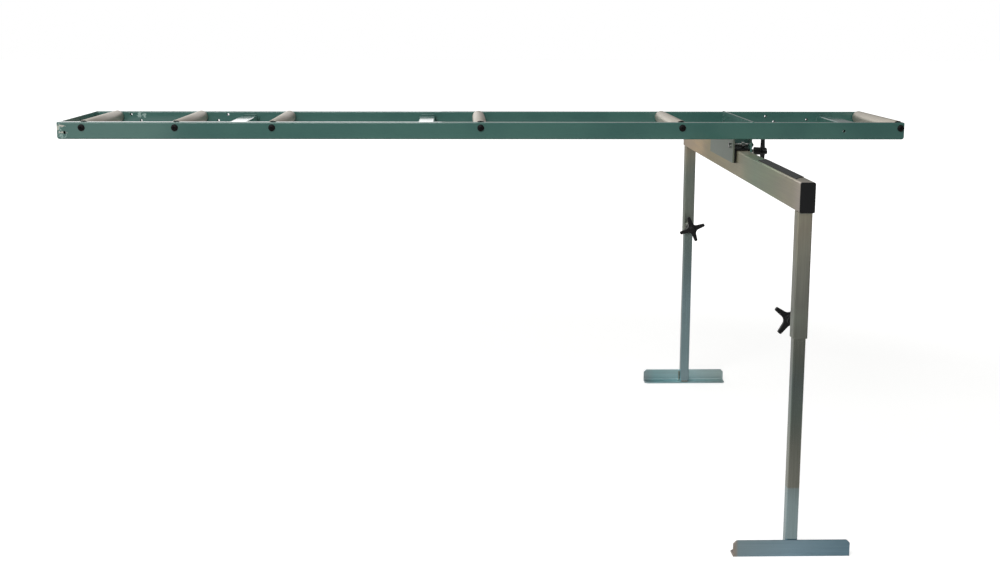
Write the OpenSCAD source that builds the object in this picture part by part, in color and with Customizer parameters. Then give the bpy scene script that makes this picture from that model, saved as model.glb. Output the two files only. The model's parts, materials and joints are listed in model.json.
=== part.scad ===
// Roller table with a height-adjustable trestle, for feeding long work to a saw.
// X runs along the table from the saw end, Y across it away from the front rail, Z up.
// The origin is on the floor, below the middle of the table's length and of the trestle beam.

/* [Table frame] */
// Length of the two rails
table_length = 2000; // [1780:10:2600]
// Width over the outer faces of the rails
table_width = 400; // [380:5:520]
// Height of the rails' top faces above the floor
rail_top_height = 838; // [800:1:900]
// Height of a rail's section
rail_height = 40; // [38:1:50]
// Width of a rail's section
rail_width = 20; // [18:1:26]
// Wall of the rail and cross-member tubes
frame_wall = 2; // [1.5:0.25:2.5]
// Outer corner radius of the rail and cross-member tubes
frame_corner = 3; // [3:0.25:4]
// Thickness that closes a rail's end
rail_end_wall = 3; // [2:0.5:4]
// Rounding of a rail's lower end corners
rail_end_rounding = 6; // [3:0.5:7]
// Thickness of the plate that stands across the saw end
end_plate_thickness = 4; // [3:0.5:8]
// Width of a cross-member, along the table
member_width = 40; // [30:1:50]
// Height of a cross-member
member_height = 20; // [15:1:25]
// Depth of the cross-members' tops below the rails' tops
member_drop = 10; // [5:0.5:12]
// First cross-member, from the saw end
left_member_station = 399; // [380:1:420]
// Second cross-member, from the saw end
middle_member_station = 860; // [800:1:900]
// Last cross-member, from the outer end
right_member_inset = 97; // [90:1:105]
// Size of a weld bead on the frame
bead = 3.5; // [2:0.25:4]

/* [Rail holes] */
// Diameter of the hole that takes the saw's cross pin
saw_hole_diameter = 7; // [5:0.5:9]
// Saw pin hole, from the saw end
saw_hole_station = 18; // [14:1:24]
// Saw pin hole, below the rails' tops
saw_hole_drop = 24.5; // [20:0.5:28]
// Diameter of the bolt holes in the rails
bolt_hole_diameter = 6.5; // [5:0.5:8]
// Hole through both rails near the outer end, from that end
outer_hole_inset = 144; // [130:1:160]
// Hole through both rails near the outer end, below the tops
outer_hole_drop = 20; // [15:1:25]
// Middle of the rear rail's four holes, from the saw end
fence_station = 216; // [205:1:225]
// Distance between the upper pair of holes
upper_pair_spacing = 250; // [240:1:260]
// Upper pair of holes, below the rail's top
upper_pair_drop = 8; // [8:0.5:12]
// Distance between the lower pair of holes
lower_pair_spacing = 200; // [180:1:205]
// Lower pair of holes, below the rail's top
lower_pair_drop = 23.5; // [18:0.5:30]
// Upper single hole of the rear rail, from the outer end
upper_stop_inset = 253; // [245:1:260]
// Upper single hole, below the rail's top
upper_stop_drop = 11.5; // [8:0.5:15]
// Lower single hole of the rear rail, from the outer end
lower_stop_inset = 231; // [220:1:238]
// Lower single hole, below the rail's top
lower_stop_drop = 25; // [20:0.5:30]

/* [Rollers] */
// Outer diameter of a roller
roller_diameter = 32; // [31:0.5:40]
// Wall of a roller's tube
roller_wall = 1.5; // [1:0.25:2]
// Height of the rollers' tops above the rails
roller_proud = 3; // [1:0.5:6]
// Gap between a roller's end cap and the rail
roller_end_gap = 3; // [1:0.5:6]
// First roller, from the saw end
roller_1_station = 57; // [50:1:64]
// Second roller, from the saw end
roller_2_station = 274; // [270:1:280]
// Third roller, from the saw end
roller_3_station = 501; // [460:1:560]
// Fourth roller, from the saw end
roller_4_station = 992; // [940:1:1050]
// Fifth roller, from the outer end
roller_5_inset = 530; // [480:1:600]
// Sixth roller, from the outer end
roller_6_inset = 9; // [9:0.5:20]
// Thickness of an end cap's flange
cap_flange = 2; // [1:0.5:4]
// Length of an end cap inside the tube
cap_length = 12; // [10:0.5:20]
// Step between an end cap's flange and the roller's surface
cap_step = 0.4; // [0:0.1:1]
// Radial gap between an end cap and the axle
cap_axle_gap = 2; // [1:0.5:3]
// Outer diameter of a bearing
bearing_diameter = 26; // [22:0.5:26]
// Width of a bearing
bearing_width = 8; // [5:0.5:10]
// Depth of a bearing's face behind the end cap's face
bearing_setback = 0.5; // [0:0.25:1]
// Diameter of a roller's fixed axle
axle_diameter = 10; // [9.5:0.5:12]
// Outer diameter of the sleeve between a bearing and the rail
sleeve_diameter = 14; // [13:0.5:15]
// Thread diameter of an axle screw
axle_screw_diameter = 8; // [5:0.5:8]
// Length of an axle screw inside the axle
axle_screw_reach = 12; // [8:1:30]
// Depth of an axle's tapped hole past its screw
tap_spare = 2; // [1:0.5:5]
// Diameter of an axle screw's head
screw_head_diameter = 16; // [12:0.5:17]
// Height of an axle screw's head
screw_head_height = 5; // [3:0.5:6]

/* [Trestle beam] */
// Length of the beam's tube
beam_length = 1480; // [1400:10:1800]
// Width of the beam's section, along the table
beam_width = 30; // [28:1:40]
// Height of the beam's section
beam_height = 60; // [50:1:80]
// Wall of the trestle's tubes
trestle_wall = 2; // [1.5:0.25:2.25]
// Outer corner radius of the trestle's tubes
trestle_corner = 3; // [2.5:0.25:3.5]
// Middle of the beam, from the table's outer end
beam_inset = 382; // [370:1:400]
// Offset of the table's middle from the beam's middle
table_shift = 108; // [-100:1:120]
// Space between the beam's top and the rails' undersides
table_rise = 28; // [24:1:40]
// Thickness of a beam end cap outside the tube
end_cap_rim = 4; // [2:0.5:6]
// Length of a beam end cap inside the tube
end_cap_insert = 14; // [8:1:25]
// Wall of a beam end cap's insert
end_cap_wall = 2; // [1.5:0.25:3]
// Width of the rubber grip strip
strip_width = 23; // [15:1:24]
// Thickness of the rubber grip strip
strip_thickness = 1.2; // [0.8:0.1:2]
// Length of the rubber grip strip
strip_length = 360; // [200:5:380]
// Start of the grip strip, from the beam's front end
strip_start = 58; // [40:1:100]
// Slant of the grip strip's ends, along the beam
strip_slant = 40; // [0:1:45]
// Distance of the grip strip from the beam's outer side
strip_margin = 2.5; // [0:0.25:3]

/* [Legs] */
// Width of the square outer leg tubes
leg_size = 30; // [30:0.5:34]
// Length of the outer leg tubes
leg_tube_length = 254; // [230:1:300]
// Distance of a leg from the beam's end
leg_inset = 12; // [8:1:40]
// Width of the square sliding leg tubes
slider_size = 25; // [23:0.25:25.25]
// Length of sliding tube inside the outer tube
slider_overlap = 130; // [100:1:180]
// Length of a foot angle
foot_length = 240; // [180:5:400]
// Width of a foot angle's flanges
foot_flange = 35; // [33:1:50]
// Thickness of a foot angle
foot_thickness = 4; // [3:0.5:5]
// Cut of a foot's free corners
foot_chamfer = 7; // [3:1:12]
// Thickness of the plastic head on a sliding tube
plug_head = 3; // [2:0.5:6]
// Length of that plug inside the tube
plug_insert = 15; // [8:1:30]

/* [Leg lock screws] */
// Height of a lock screw above the outer tube's lower end
lock_height = 21; // [20:1:60]
// Thread diameter of a lock screw
lock_thread = 8; // [6:0.5:9]
// Diameter of a lock screw's boss
boss_diameter = 20; // [18:0.5:20]
// Length of a lock screw's boss
boss_length = 10; // [6:0.5:16]
// Distance of a lock knob's hub from the leg tube
lock_standoff = 43; // [30:1:60]

/* [Table clamp] */
// Length of the clamp plates, across the table
clamp_length = 310; // [240:5:310]
// Distance of the clamp's middle from the table's middle, towards the front
clamp_offset = 28; // [0:1:28]
// Thickness of the jaw plate
jaw_thickness = 4; // [3:0.5:6]
// Gap between the jaw plate's top and the rails
jaw_clearance = 1.5; // [0.5:0.5:4]
// Reach of both clamp plates below the beam's top
clamp_reach = 29.5; // [25:0.5:45]
// Thickness of the welded clamp plate
clamp_plate_thickness = 4; // [3:0.5:6]
// Gap between the beam and the welded clamp plate
clamp_gap = 3.5; // [1:0.5:5]
// Height of the welded clamp plate's lap on the rails
clamp_lap = 1.5; // [1:0.25:2.5]
// Distance of that lap from the rails' outer faces
lap_margin = 2; // [1:0.5:6]
// Thickness of the rubber liner at the beam's side
liner_side = 4; // [2:0.5:6]
// Thickness of the rubber liner over the beam
liner_top = 3; // [2:0.5:5]
// Thread diameter of the clamp bolts
clamp_bolt_thread = 8; // [6:0.5:8]
// Width across the flats of the clamp bolts and nuts
clamp_bolt_flats = 13; // [13:0.5:15]
// Distance of a clamp bolt from the plates' ends
clamp_bolt_inset = 30; // [20:1:60]
// Length of a clamp bolt past its weld nut
bolt_tail = 3; // [1:0.5:6]
// Thread diameter of the clamp screw
clamp_screw_thread = 10; // [8:0.5:11]
// Width across the flats of the clamp screw's nut
clamp_screw_flats = 17; // [16:0.5:18]
// Depth of the clamp screw below the beam's top
clamp_screw_drop = 15; // [10.5:0.5:16]
// Distance of the clamp knob's hub from the welded clamp plate
clamp_standoff = 36; // [20:0.5:50]

/* [Star knobs] */
// Radius over a knob's arm tips
knob_radius = 37; // [34:0.5:38]
// Width of an arm at its tip
arm_tip = 8.5; // [7:0.5:10]
// Width of an arm at its root
arm_root = 12; // [11:0.5:14]
// Thickness of the arms
arm_thickness = 9; // [7:0.5:12]
// Radius of the hollow between two arms
arm_web = 12; // [10:0.5:13]
// Diameter of a knob's hub at its inner end
hub_diameter = 20; // [19:0.5:24]
// Diameter of the hub's waist behind the arms
waist_diameter = 18; // [16:0.5:19]
// Diameter of the hub's outer end
crown_diameter = 15; // [12:0.5:18]
// Length of a knob's hub
hub_length = 33; // [30:0.5:40]
// Distance of the arms' middle from the hub's inner end
arm_plane = 22; // [18:0.5:24]
// Length of a screw inside its knob
screw_engagement = 26; // [20:0.5:28]

/* [Clearances] */
// Radial clearance of a running fit
running_fit = 0.05; // [0.02:0.01:0.1]
// Radial clearance of a bolt in its hole
bolt_fit = 0.4; // [0.2:0.05:0.6]
// Gap between a clamped piece and what it clamps
clamp_touch = 0.3; // [0.2:0.05:0.5]
// Gap around a plastic plug in its tube
plug_fit = 0.1; // [0.05:0.05:0.2]

/* [Hidden] */
$fn = 72;

// Colours as the photograph shows them
green_paint = "#3d6a63";
zinc_plate = "#8b8878";
roller_steel = "#c4c4b8";
bright_steel = "#b9bab4";
black_plastic = "#26272a";
black_rubber = "#33352f";

// Length of a cutter past the face that it cuts
past = 1;
// The two ends of the trestle
NEAR = -1;
FAR = 1;

// Places along the table
roller_radius = roller_diameter / 2;
stations = [
    roller_1_station, roller_2_station, roller_3_station, roller_4_station,
    table_length - roller_5_inset, table_length - roller_6_inset
];
roller_reach = max(stations) + roller_radius;
left_x = -max(table_length, roller_reach) / 2;
right_x = left_x + table_length;
beam_x = right_x - beam_inset;

// Places across the table
near_face = table_shift - table_width / 2;
far_face = table_shift + table_width / 2;
near_inner = near_face + rail_width;
far_inner = far_face - rail_width;
inner_width = far_inner - near_inner;

// Middle of the table clamp, across the table
clamp_y = table_shift - clamp_offset;

// Heights, from the rails down to the floor
rail_bottom = rail_top_height - rail_height;
beam_top = rail_bottom - table_rise;
beam_bottom = beam_top - beam_height;
leg_tube_bottom = beam_bottom - leg_tube_length;
slider_top = leg_tube_bottom + slider_overlap;
member_middle = rail_top_height - member_drop - member_height / 2;
axle_height = rail_top_height + roller_proud - roller_radius;
lock_z = leg_tube_bottom + lock_height;

// Faces of the clamp, across the beam
liner_face = beam_x - beam_width / 2 - clamp_touch;
jaw_face = liner_face - liner_side;
jaw_back = jaw_face - jaw_thickness;
plate_face = beam_x + beam_width / 2 + clamp_gap;
plate_back = plate_face + clamp_plate_thickness;
clamp_bottom = beam_top - clamp_reach;
liner_roof = beam_top + clamp_touch + liner_top;
nut_radius = clamp_bolt_flats / 2 / cos(30);
// Standard heights of nuts and bolt heads, by their thread
nut_thickness = 0.8 * clamp_bolt_thread;
bolt_head = 0.65 * clamp_bolt_thread;
clamp_nut_thickness = 0.84 * clamp_screw_thread;
clamp_bolt_z = liner_roof + nut_radius + clamp_touch / 2;
clamp_screw_z = beam_top - clamp_screw_drop;

// The trestle's legs
leg_y = beam_length / 2 - leg_inset - leg_size / 2;
slider_wall = trestle_wall;
foot_outer = slider_size / 2 + foot_thickness;

// Holes of a rail: station, drop below its top, radius
axle_drop = rail_top_height - axle_height;
axle_holes = [for (s = stations) [s, axle_drop, axle_screw_diameter / 2 + bolt_fit / 2]];
through_holes = [
    [saw_hole_station, saw_hole_drop, saw_hole_diameter / 2],
    [table_length - outer_hole_inset, outer_hole_drop, bolt_hole_diameter / 2]
];
rear_holes = [
    [fence_station - upper_pair_spacing / 2, upper_pair_drop, bolt_hole_diameter / 2],
    [fence_station + upper_pair_spacing / 2, upper_pair_drop, bolt_hole_diameter / 2],
    [fence_station - lower_pair_spacing / 2, lower_pair_drop, bolt_hole_diameter / 2],
    [fence_station + lower_pair_spacing / 2, lower_pair_drop, bolt_hole_diameter / 2],
    [table_length - upper_stop_inset, upper_stop_drop, bolt_hole_diameter / 2],
    [table_length - lower_stop_inset, lower_stop_drop, bolt_hole_diameter / 2]
];

// Rectangle with round corners, centred
module rounded_section(a, b, r) {
    square([a - 2 * r, b], center = true);
    square([a, b - 2 * r], center = true);
    for (i = [-1, 1], j = [-1, 1])
        translate([i * (a / 2 - r), j * (b / 2 - r)]) circle(r);
}

// Section of a rectangular tube
module tube_section(a, b, wall, r) {
    difference() {
        rounded_section(a, b, r);
        rounded_section(a - 2 * wall, b - 2 * wall, r - wall);
    }
}

// Extrusion along +X of a section drawn with Y to the right and Z up
module along_x(length) {
    rotate([90, 0, 90]) linear_extrude(length) children();
}

// Extrusion along +Y of a symmetric section drawn with X to the right
module along_y(length) {
    rotate([-90, 0, 0]) linear_extrude(length) children();
}

// Round rod along +X or +Y
module rod_x(r, length) {
    rotate([0, 90, 0]) cylinder(r = r, h = length);
}

module rod_y(r, length) {
    rotate([-90, 0, 0]) cylinder(r = r, h = length);
}

// Weld bead in a corner of two faces, with its legs along +X and +Y and a bulging face
module bead_section(leg) {
    far = 0.82 * leg;
    near = 0.42 * leg;
    polygon([[0, 0], [leg, 0], [far, near], [near, far], [0, leg]]);
}

// What rounds a rail's lower corner, at either end
module lower_corner_cutter(x, side) {
    r = rail_end_rounding;
    translate([x, -past, rail_bottom])
        mirror([side > 0 ? 1 : 0, 0, 0])
            difference() {
                translate([-past, 0, -past]) cube([r + past, rail_width + 2 * past, r + past]);
                translate([r, -past, r]) rod_y(r, rail_width + 4 * past);
            }
}

module rail(face_y, holes) {
    section_z = (rail_top_height + rail_bottom) / 2;
    color(green_paint)
        translate([0, face_y, 0])
            difference() {
                translate([left_x, rail_width / 2, section_z])
                    along_x(table_length)
                        rounded_section(rail_width, rail_height, frame_corner);
                translate([left_x + rail_end_wall, rail_width / 2, section_z])
                    along_x(table_length - 2 * rail_end_wall)
                        rounded_section(
                            rail_width - 2 * frame_wall, rail_height - 2 * frame_wall,
                            frame_corner - frame_wall);
                lower_corner_cutter(left_x, -1);
                lower_corner_cutter(right_x, 1);
                for (h = holes)
                    translate([left_x + h[0], -past, rail_top_height - h[1]])
                        rod_y(h[2], rail_width + 2 * past);
            }
}

module near_rail() { rail(near_face, concat(axle_holes, through_holes)); }

module far_rail() { rail(far_inner, concat(axle_holes, through_holes, rear_holes)); }

module end_plate() {
    color(green_paint)
        translate([left_x, near_inner, rail_bottom])
            cube([end_plate_thickness, inner_width, rail_height]);
}

module cross_member(x) {
    color(green_paint)
        translate([x, near_inner, member_middle])
            along_y(inner_width) tube_section(member_width, member_height, frame_wall, frame_corner);
}

member_x = [
    left_x + left_member_station, left_x + middle_member_station, right_x - right_member_inset
];
module left_cross_member() { cross_member(member_x[0]); }
module middle_cross_member() { cross_member(member_x[1]); }
module right_cross_member() { cross_member(member_x[2]); }

// Positions of the two clamp bolts across the table
clamp_bolt_y = [for (s = [-1, 1]) clamp_y + s * (clamp_length / 2 - clamp_bolt_inset)];

// Plate welded across the rails: it laps over them and hangs down behind the beam
module clamp_cross_plate() {
    lap = table_width - 2 * lap_margin;
    t = clamp_plate_thickness;
    color(green_paint)
        translate([plate_face, table_shift, 0])
            difference() {
                union() {
                    translate([0, -inner_width / 2, rail_bottom]) cube([t, inner_width, rail_height]);
                    translate([0, -lap / 2, rail_top_height]) cube([t, lap, clamp_lap]);
                    translate([0, -clamp_offset - clamp_length / 2, clamp_bottom])
                        cube([t, clamp_length, rail_bottom - clamp_bottom]);
                }
                for (y = clamp_bolt_y)
                    translate([-past, y - table_shift, clamp_bolt_z])
                        rod_x(clamp_bolt_thread / 2 + bolt_fit, t + 2 * past);
                translate([-past, -clamp_offset, clamp_screw_z])
                    rod_x(clamp_screw_thread / 2 + bolt_fit, t + 2 * past);
            }
}

// Upright bead in the corner of a rail's inner face and a face square to the table
module upright_bead(x, side_x, side_y, z0, z1) {
    translate([x, side_y < 0 ? near_inner : far_inner, z0])
        mirror([side_x < 0 ? 1 : 0, 0, 0])
            mirror([0, side_y > 0 ? 1 : 0, 0])
                linear_extrude(z1 - z0) bead_section(bead);
}

// Level bead on top of a cross-member, at a rail's inner face
module member_top_bead(x, side_y) {
    length = member_width - 2 * frame_corner;
    translate([x - length / 2, side_y < 0 ? near_inner : far_inner, member_middle + member_height / 2])
        mirror([0, side_y > 0 ? 1 : 0, 0])
            along_x(length) bead_section(bead);
}

module frame_weld_beads() {
    low = rail_bottom + frame_corner;
    high = rail_top_height - frame_corner;
    member_low = member_middle - member_height / 2 + frame_corner;
    member_high = member_middle + member_height / 2 - frame_corner;
    color(green_paint)
        for (side_y = [-1, 1]) {
            upright_bead(left_x + end_plate_thickness, 1, side_y, low, high);
            upright_bead(plate_face, -1, side_y, low, high);
            upright_bead(plate_back, 1, side_y, low, high);
            for (x = member_x) {
                for (side_x = [-1, 1])
                    upright_bead(x + side_x * member_width / 2, side_x, side_y, member_low, member_high);
                member_top_bead(x, side_y);
            }
        }
}

module roller_axles() {
    color(bright_steel)
        for (s = stations)
            translate([left_x + s, near_inner, axle_height])
                difference() {
                    rod_y(axle_diameter / 2, inner_width);
                    for (y = [-past, inner_width - axle_screw_reach - tap_spare])
                        translate([0, y, 0])
                            rod_y(axle_screw_diameter / 2 + running_fit,
                                axle_screw_reach + tap_spare + past);
                }
}

// Round-head screw with a cross recess, its head's seat at the origin and its thread along +Z
module axle_screw() {
    rim_r = screw_head_diameter / 2;
    shoulder_r = 0.78 * rim_r;
    crown_r = 0.45 * rim_r;
    crown_z = screw_head_height;
    shoulder_z = 0.8 * screw_head_height;
    rim_z = 0.4 * screw_head_height;
    recess_length = rim_r;
    recess_width = 0.24 * rim_r;
    recess_depth = 0.55 * screw_head_height;
    difference() {
        union() {
            translate([0, 0, -rim_z]) cylinder(r = rim_r, h = rim_z);
            translate([0, 0, -shoulder_z])
                cylinder(r1 = shoulder_r, r2 = rim_r, h = shoulder_z - rim_z);
            translate([0, 0, -crown_z])
                cylinder(r1 = crown_r, r2 = shoulder_r, h = crown_z - shoulder_z);
            cylinder(r = axle_screw_diameter / 2, h = rail_width + axle_screw_reach);
        }
        for (a = [0, 90])
            rotate(a)
                translate([-recess_length / 2, -recess_width / 2, -crown_z - past])
                    cube([recess_length, recess_width, recess_depth + past]);
    }
}

module axle_screws() {
    color(black_plastic)
        for (s = stations) {
            translate([left_x + s, near_face, axle_height]) rotate([-90, 0, 0]) axle_screw();
            translate([left_x + s, far_face, axle_height]) rotate([90, 0, 0]) axle_screw();
        }
}

// Places across the table of one end of a roller, from the rail's inner face
bearing_start = roller_end_gap + bearing_setback;
tube_start = roller_end_gap + cap_flange;

// Both ends of a roller: the children are drawn along +Z from the rail's inner face
module both_roller_ends(station) {
    translate([left_x + station, near_inner, axle_height]) rotate([-90, 0, 0]) children();
    translate([left_x + station, far_inner, axle_height]) rotate([90, 0, 0]) children();
}

module ring(outer, inner, length) {
    difference() {
        cylinder(r = outer, h = length);
        translate([0, 0, -past]) cylinder(r = inner, h = length + 2 * past);
    }
}

module axle_sleeves() {
    color(bright_steel)
        for (s = stations)
            both_roller_ends(s)
                ring(sleeve_diameter / 2, axle_diameter / 2 + running_fit, bearing_start);
}

module roller_tube(i) {
    length = inner_width - 2 * tube_start;
    color(roller_steel)
        translate([left_x + stations[i - 1], near_inner + tube_start, axle_height])
            rotate([-90, 0, 0]) ring(roller_radius, roller_radius - roller_wall, length);
}

// Plastic end cap: a flange over the tube's end, a plug in it, and the bearing's pocket
module roller_caps(i) {
    plug_r = roller_radius - roller_wall - running_fit;
    pocket_r = bearing_diameter / 2 + running_fit;
    color(black_plastic)
        both_roller_ends(stations[i - 1])
            difference() {
                union() {
                    translate([0, 0, roller_end_gap])
                        cylinder(r = roller_radius - cap_step, h = cap_flange);
                    translate([0, 0, tube_start]) cylinder(r = plug_r, h = cap_length);
                }
                translate([0, 0, roller_end_gap - past])
                    cylinder(r = pocket_r, h = past + bearing_start - roller_end_gap + bearing_width);
                translate([0, 0, roller_end_gap])
                    cylinder(r = axle_diameter / 2 + cap_axle_gap, h = cap_flange + cap_length + past);
            }
}

// Shielded ball bearing, with a groove between its rings on both faces
module roller_bearings(i) {
    inner = axle_diameter / 2 + running_fit;
    outer = bearing_diameter / 2;
    ring_wall = (outer - inner) / 4;
    groove = bearing_width / 16;
    color(bright_steel)
        both_roller_ends(stations[i - 1])
            translate([0, 0, bearing_start])
                difference() {
                    ring(outer, inner, bearing_width);
                    for (z = [-past, bearing_width - groove])
                        translate([0, 0, z]) ring(outer - ring_wall, inner + ring_wall, groove + past);
                }
}

module clamp_jaw_plate() {
    color(zinc_plate)
        difference() {
            translate([jaw_back, clamp_y - clamp_length / 2, clamp_bottom])
                cube([jaw_thickness, clamp_length, rail_bottom - jaw_clearance - clamp_bottom]);
            for (y = clamp_bolt_y)
                translate([jaw_back - past, y, clamp_bolt_z])
                    rod_x(clamp_bolt_thread / 2 + bolt_fit, jaw_thickness + 2 * past);
        }
}

// Rubber angle on the jaw plate: it lines the beam's side and lies over its top
module clamp_liner() {
    y = clamp_y - clamp_length / 2;
    color(black_rubber) {
        translate([jaw_face, y, clamp_bottom])
            cube([liner_side, clamp_length, liner_roof - clamp_bottom]);
        translate([liner_face, y, beam_top + clamp_touch])
            cube([plate_face - clamp_touch - liner_face, clamp_length, liner_top]);
    }
}

module clamp_bolts() {
    color(bright_steel)
        for (y = clamp_bolt_y)
            translate([0, y, clamp_bolt_z]) {
                translate([jaw_back - bolt_head, 0, 0])
                    rotate([0, 90, 0]) cylinder(r = nut_radius, h = bolt_head, $fn = 6);
                translate([jaw_back, 0, 0])
                    rod_x(clamp_bolt_thread / 2, plate_back + nut_thickness + bolt_tail - jaw_back);
            }
}

// Hexagon nut along +X
module nut_x(radius, bore, length) {
    rotate([0, 90, 0])
        difference() {
            cylinder(r = radius, h = length, $fn = 6);
            translate([0, 0, -past]) cylinder(r = bore, h = length + 2 * past);
        }
}

module clamp_lock_nuts() {
    color(bright_steel)
        for (y = clamp_bolt_y)
            translate([(jaw_face + plate_face) / 2 + nut_thickness / 2, y, clamp_bolt_z])
                nut_x(nut_radius, clamp_bolt_thread / 2 + running_fit, nut_thickness);
}

module clamp_weld_nuts() {
    color(green_paint)
        for (y = clamp_bolt_y)
            translate([plate_back, y, clamp_bolt_z])
                nut_x(nut_radius, clamp_bolt_thread / 2 + running_fit, nut_thickness);
}

module clamp_screw_nut() {
    color(green_paint)
        translate([plate_back, clamp_y, clamp_screw_z])
            nut_x(clamp_screw_flats / 2 / cos(30), clamp_screw_thread / 2 + running_fit,
                clamp_nut_thickness);
}

module beam() {
    color(zinc_plate)
        translate([beam_x, -beam_length / 2, beam_top - beam_height / 2])
            along_y(beam_length) tube_section(beam_width, beam_height, trestle_wall, trestle_corner);
}

// Plastic cap in a beam end: a rim over the tube's edge and a hollow insert
module beam_end_caps() {
    inner_w = beam_width - 2 * trestle_wall - 2 * plug_fit;
    inner_h = beam_height - 2 * trestle_wall - 2 * plug_fit;
    color(black_plastic)
        for (side = [NEAR, FAR])
            translate([beam_x, side * beam_length / 2, beam_top - beam_height / 2])
                rotate([side > 0 ? -90 : 90, 0, 0]) {
                    linear_extrude(end_cap_rim)
                        rounded_section(beam_width, beam_height, trestle_corner);
                    translate([0, 0, -end_cap_insert])
                        linear_extrude(end_cap_insert)
                            tube_section(inner_w, inner_h, end_cap_wall, trestle_corner - plug_fit);
                }
}

// Rubber strip on the beam's top, its ends cut aslant
module grip_strip() {
    color(black_rubber)
        translate([
            beam_x + beam_width / 2 - strip_margin - strip_width,
            -beam_length / 2 + strip_start,
            beam_top
        ])
            linear_extrude(strip_thickness)
                polygon([
                    [0, 0], [strip_width, strip_slant],
                    [strip_width, strip_slant + strip_length], [0, strip_length]
                ]);
}

// One leg's place: the children are drawn for a leg whose inner side faces +Y
module at_leg(side) {
    translate([beam_x, side * leg_y, 0]) mirror([0, side > 0 ? 1 : 0, 0]) children();
}

module leg_tube(side) {
    color(zinc_plate)
        at_leg(side)
            difference() {
                translate([0, 0, leg_tube_bottom])
                    linear_extrude(leg_tube_length)
                        tube_section(leg_size, leg_size, trestle_wall, trestle_corner);
                translate([0, leg_size / 2 - trestle_wall - past, lock_z])
                    rod_y(lock_thread / 2 + bolt_fit, trestle_wall + 2 * past);
            }
}

module near_leg_tube() { leg_tube(NEAR); }
module far_leg_tube() { leg_tube(FAR); }

// Beads under the beam on both sides of a leg, and round the lock screw's boss
module leg_weld_beads() {
    length = beam_width - 2 * trestle_corner;
    ring_leg = leg_size / 2 - trestle_corner - boss_diameter / 2;
    color(zinc_plate)
        for (side = [NEAR, FAR])
            at_leg(side) {
                for (s = [-1, 1])
                    translate([-length / 2, s * leg_size / 2, beam_bottom])
                        mirror([0, s < 0 ? 1 : 0, 0])
                            mirror([0, 0, 1]) along_x(length) bead_section(bead);
                translate([0, leg_size / 2, lock_z])
                    rotate([-90, 0, 0])
                        rotate_extrude()
                            translate([boss_diameter / 2, 0]) bead_section(ring_leg);
            }
}

module lock_boss(side) {
    color(zinc_plate)
        at_leg(side)
            translate([0, leg_size / 2, lock_z])
                rotate([-90, 0, 0])
                    ring(boss_diameter / 2, lock_thread / 2 + running_fit, boss_length);
}

module near_lock_boss() { lock_boss(NEAR); }
module far_lock_boss() { lock_boss(FAR); }

module inner_leg(side) {
    color(zinc_plate)
        at_leg(side)
            translate([0, 0, foot_thickness])
                linear_extrude(slider_top - foot_thickness)
                    tube_section(slider_size, slider_size, slider_wall, trestle_corner);
}

module near_inner_leg() { inner_leg(NEAR); }
module far_inner_leg() { inner_leg(FAR); }

// Foot: an angle whose upright flange stands on the leg's outer side
module foot(side) {
    color(zinc_plate)
        at_leg(side)
            translate([0, -foot_outer, 0])
                difference() {
                    union() {
                        translate([-foot_length / 2, 0, 0])
                            cube([foot_length, foot_flange, foot_thickness]);
                        translate([-foot_length / 2, 0, 0])
                            cube([foot_length, foot_thickness, foot_flange]);
                    }
                    for (s = [-1, 1]) {
                        translate([s * foot_length / 2, foot_flange, -past])
                            rotate(45)
                                cube([foot_chamfer * sqrt(2), foot_chamfer * sqrt(2), foot_flange],
                                    center = true);
                        translate([s * foot_length / 2, 0, foot_flange])
                            rotate([0, 45, 0])
                                cube([foot_chamfer * sqrt(2), foot_flange, foot_chamfer * sqrt(2)],
                                    center = true);
                    }
                }
}

module near_foot() { foot(NEAR); }
module far_foot() { foot(FAR); }

// Beads between a sliding tube and its foot
module foot_welds(side) {
    half = slider_size / 2;
    length = slider_size - 2 * trestle_corner;
    color(zinc_plate)
        at_leg(side) {
            for (s = [-1, 1])
                translate([s * half, -half, foot_thickness])
                    mirror([s < 0 ? 1 : 0, 0, 0])
                        linear_extrude(foot_flange - foot_thickness - foot_chamfer / 2)
                            difference() {
                                bead_section(bead);
                                translate([-trestle_corner, trestle_corner]) circle(trestle_corner);
                            }
            translate([-length / 2, half, foot_thickness]) along_x(length) bead_section(bead);
        }
}

module near_foot_welds() { foot_welds(NEAR); }
module far_foot_welds() { foot_welds(FAR); }

// Plastic plug on a sliding tube's top, whose head guides it in the outer tube
module leg_plug(side) {
    head = leg_size - 2 * trestle_wall - 2 * plug_fit;
    insert = slider_size - 2 * slider_wall - 2 * plug_fit;
    color(black_plastic)
        at_leg(side)
            translate([0, 0, slider_top]) {
                linear_extrude(plug_head) rounded_section(head, head, trestle_corner);
                translate([0, 0, -plug_insert])
                    linear_extrude(plug_insert) rounded_section(insert, insert, trestle_corner);
            }
}

module near_leg_plug() { leg_plug(NEAR); }
module far_leg_plug() { leg_plug(FAR); }

// Threaded rod along +Z with a chamfered tip at the origin
module screw_rod(radius, length) {
    tip = radius / 4;
    cylinder(r1 = radius - tip, r2 = radius, h = tip);
    translate([0, 0, tip]) cylinder(r = radius, h = length - tip);
}

// A lock screw's tip stands just off the sliding tube
lock_tip = slider_size / 2 + clamp_touch;
module lock_screw(side) {
    color(bright_steel)
        at_leg(side)
            translate([0, lock_tip, lock_z])
                rotate([-90, 0, 0])
                    screw_rod(lock_thread / 2,
                        leg_size / 2 + lock_standoff + screw_engagement - lock_tip);
}

module near_lock_screw() { lock_screw(NEAR); }
module far_lock_screw() { lock_screw(FAR); }

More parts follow.
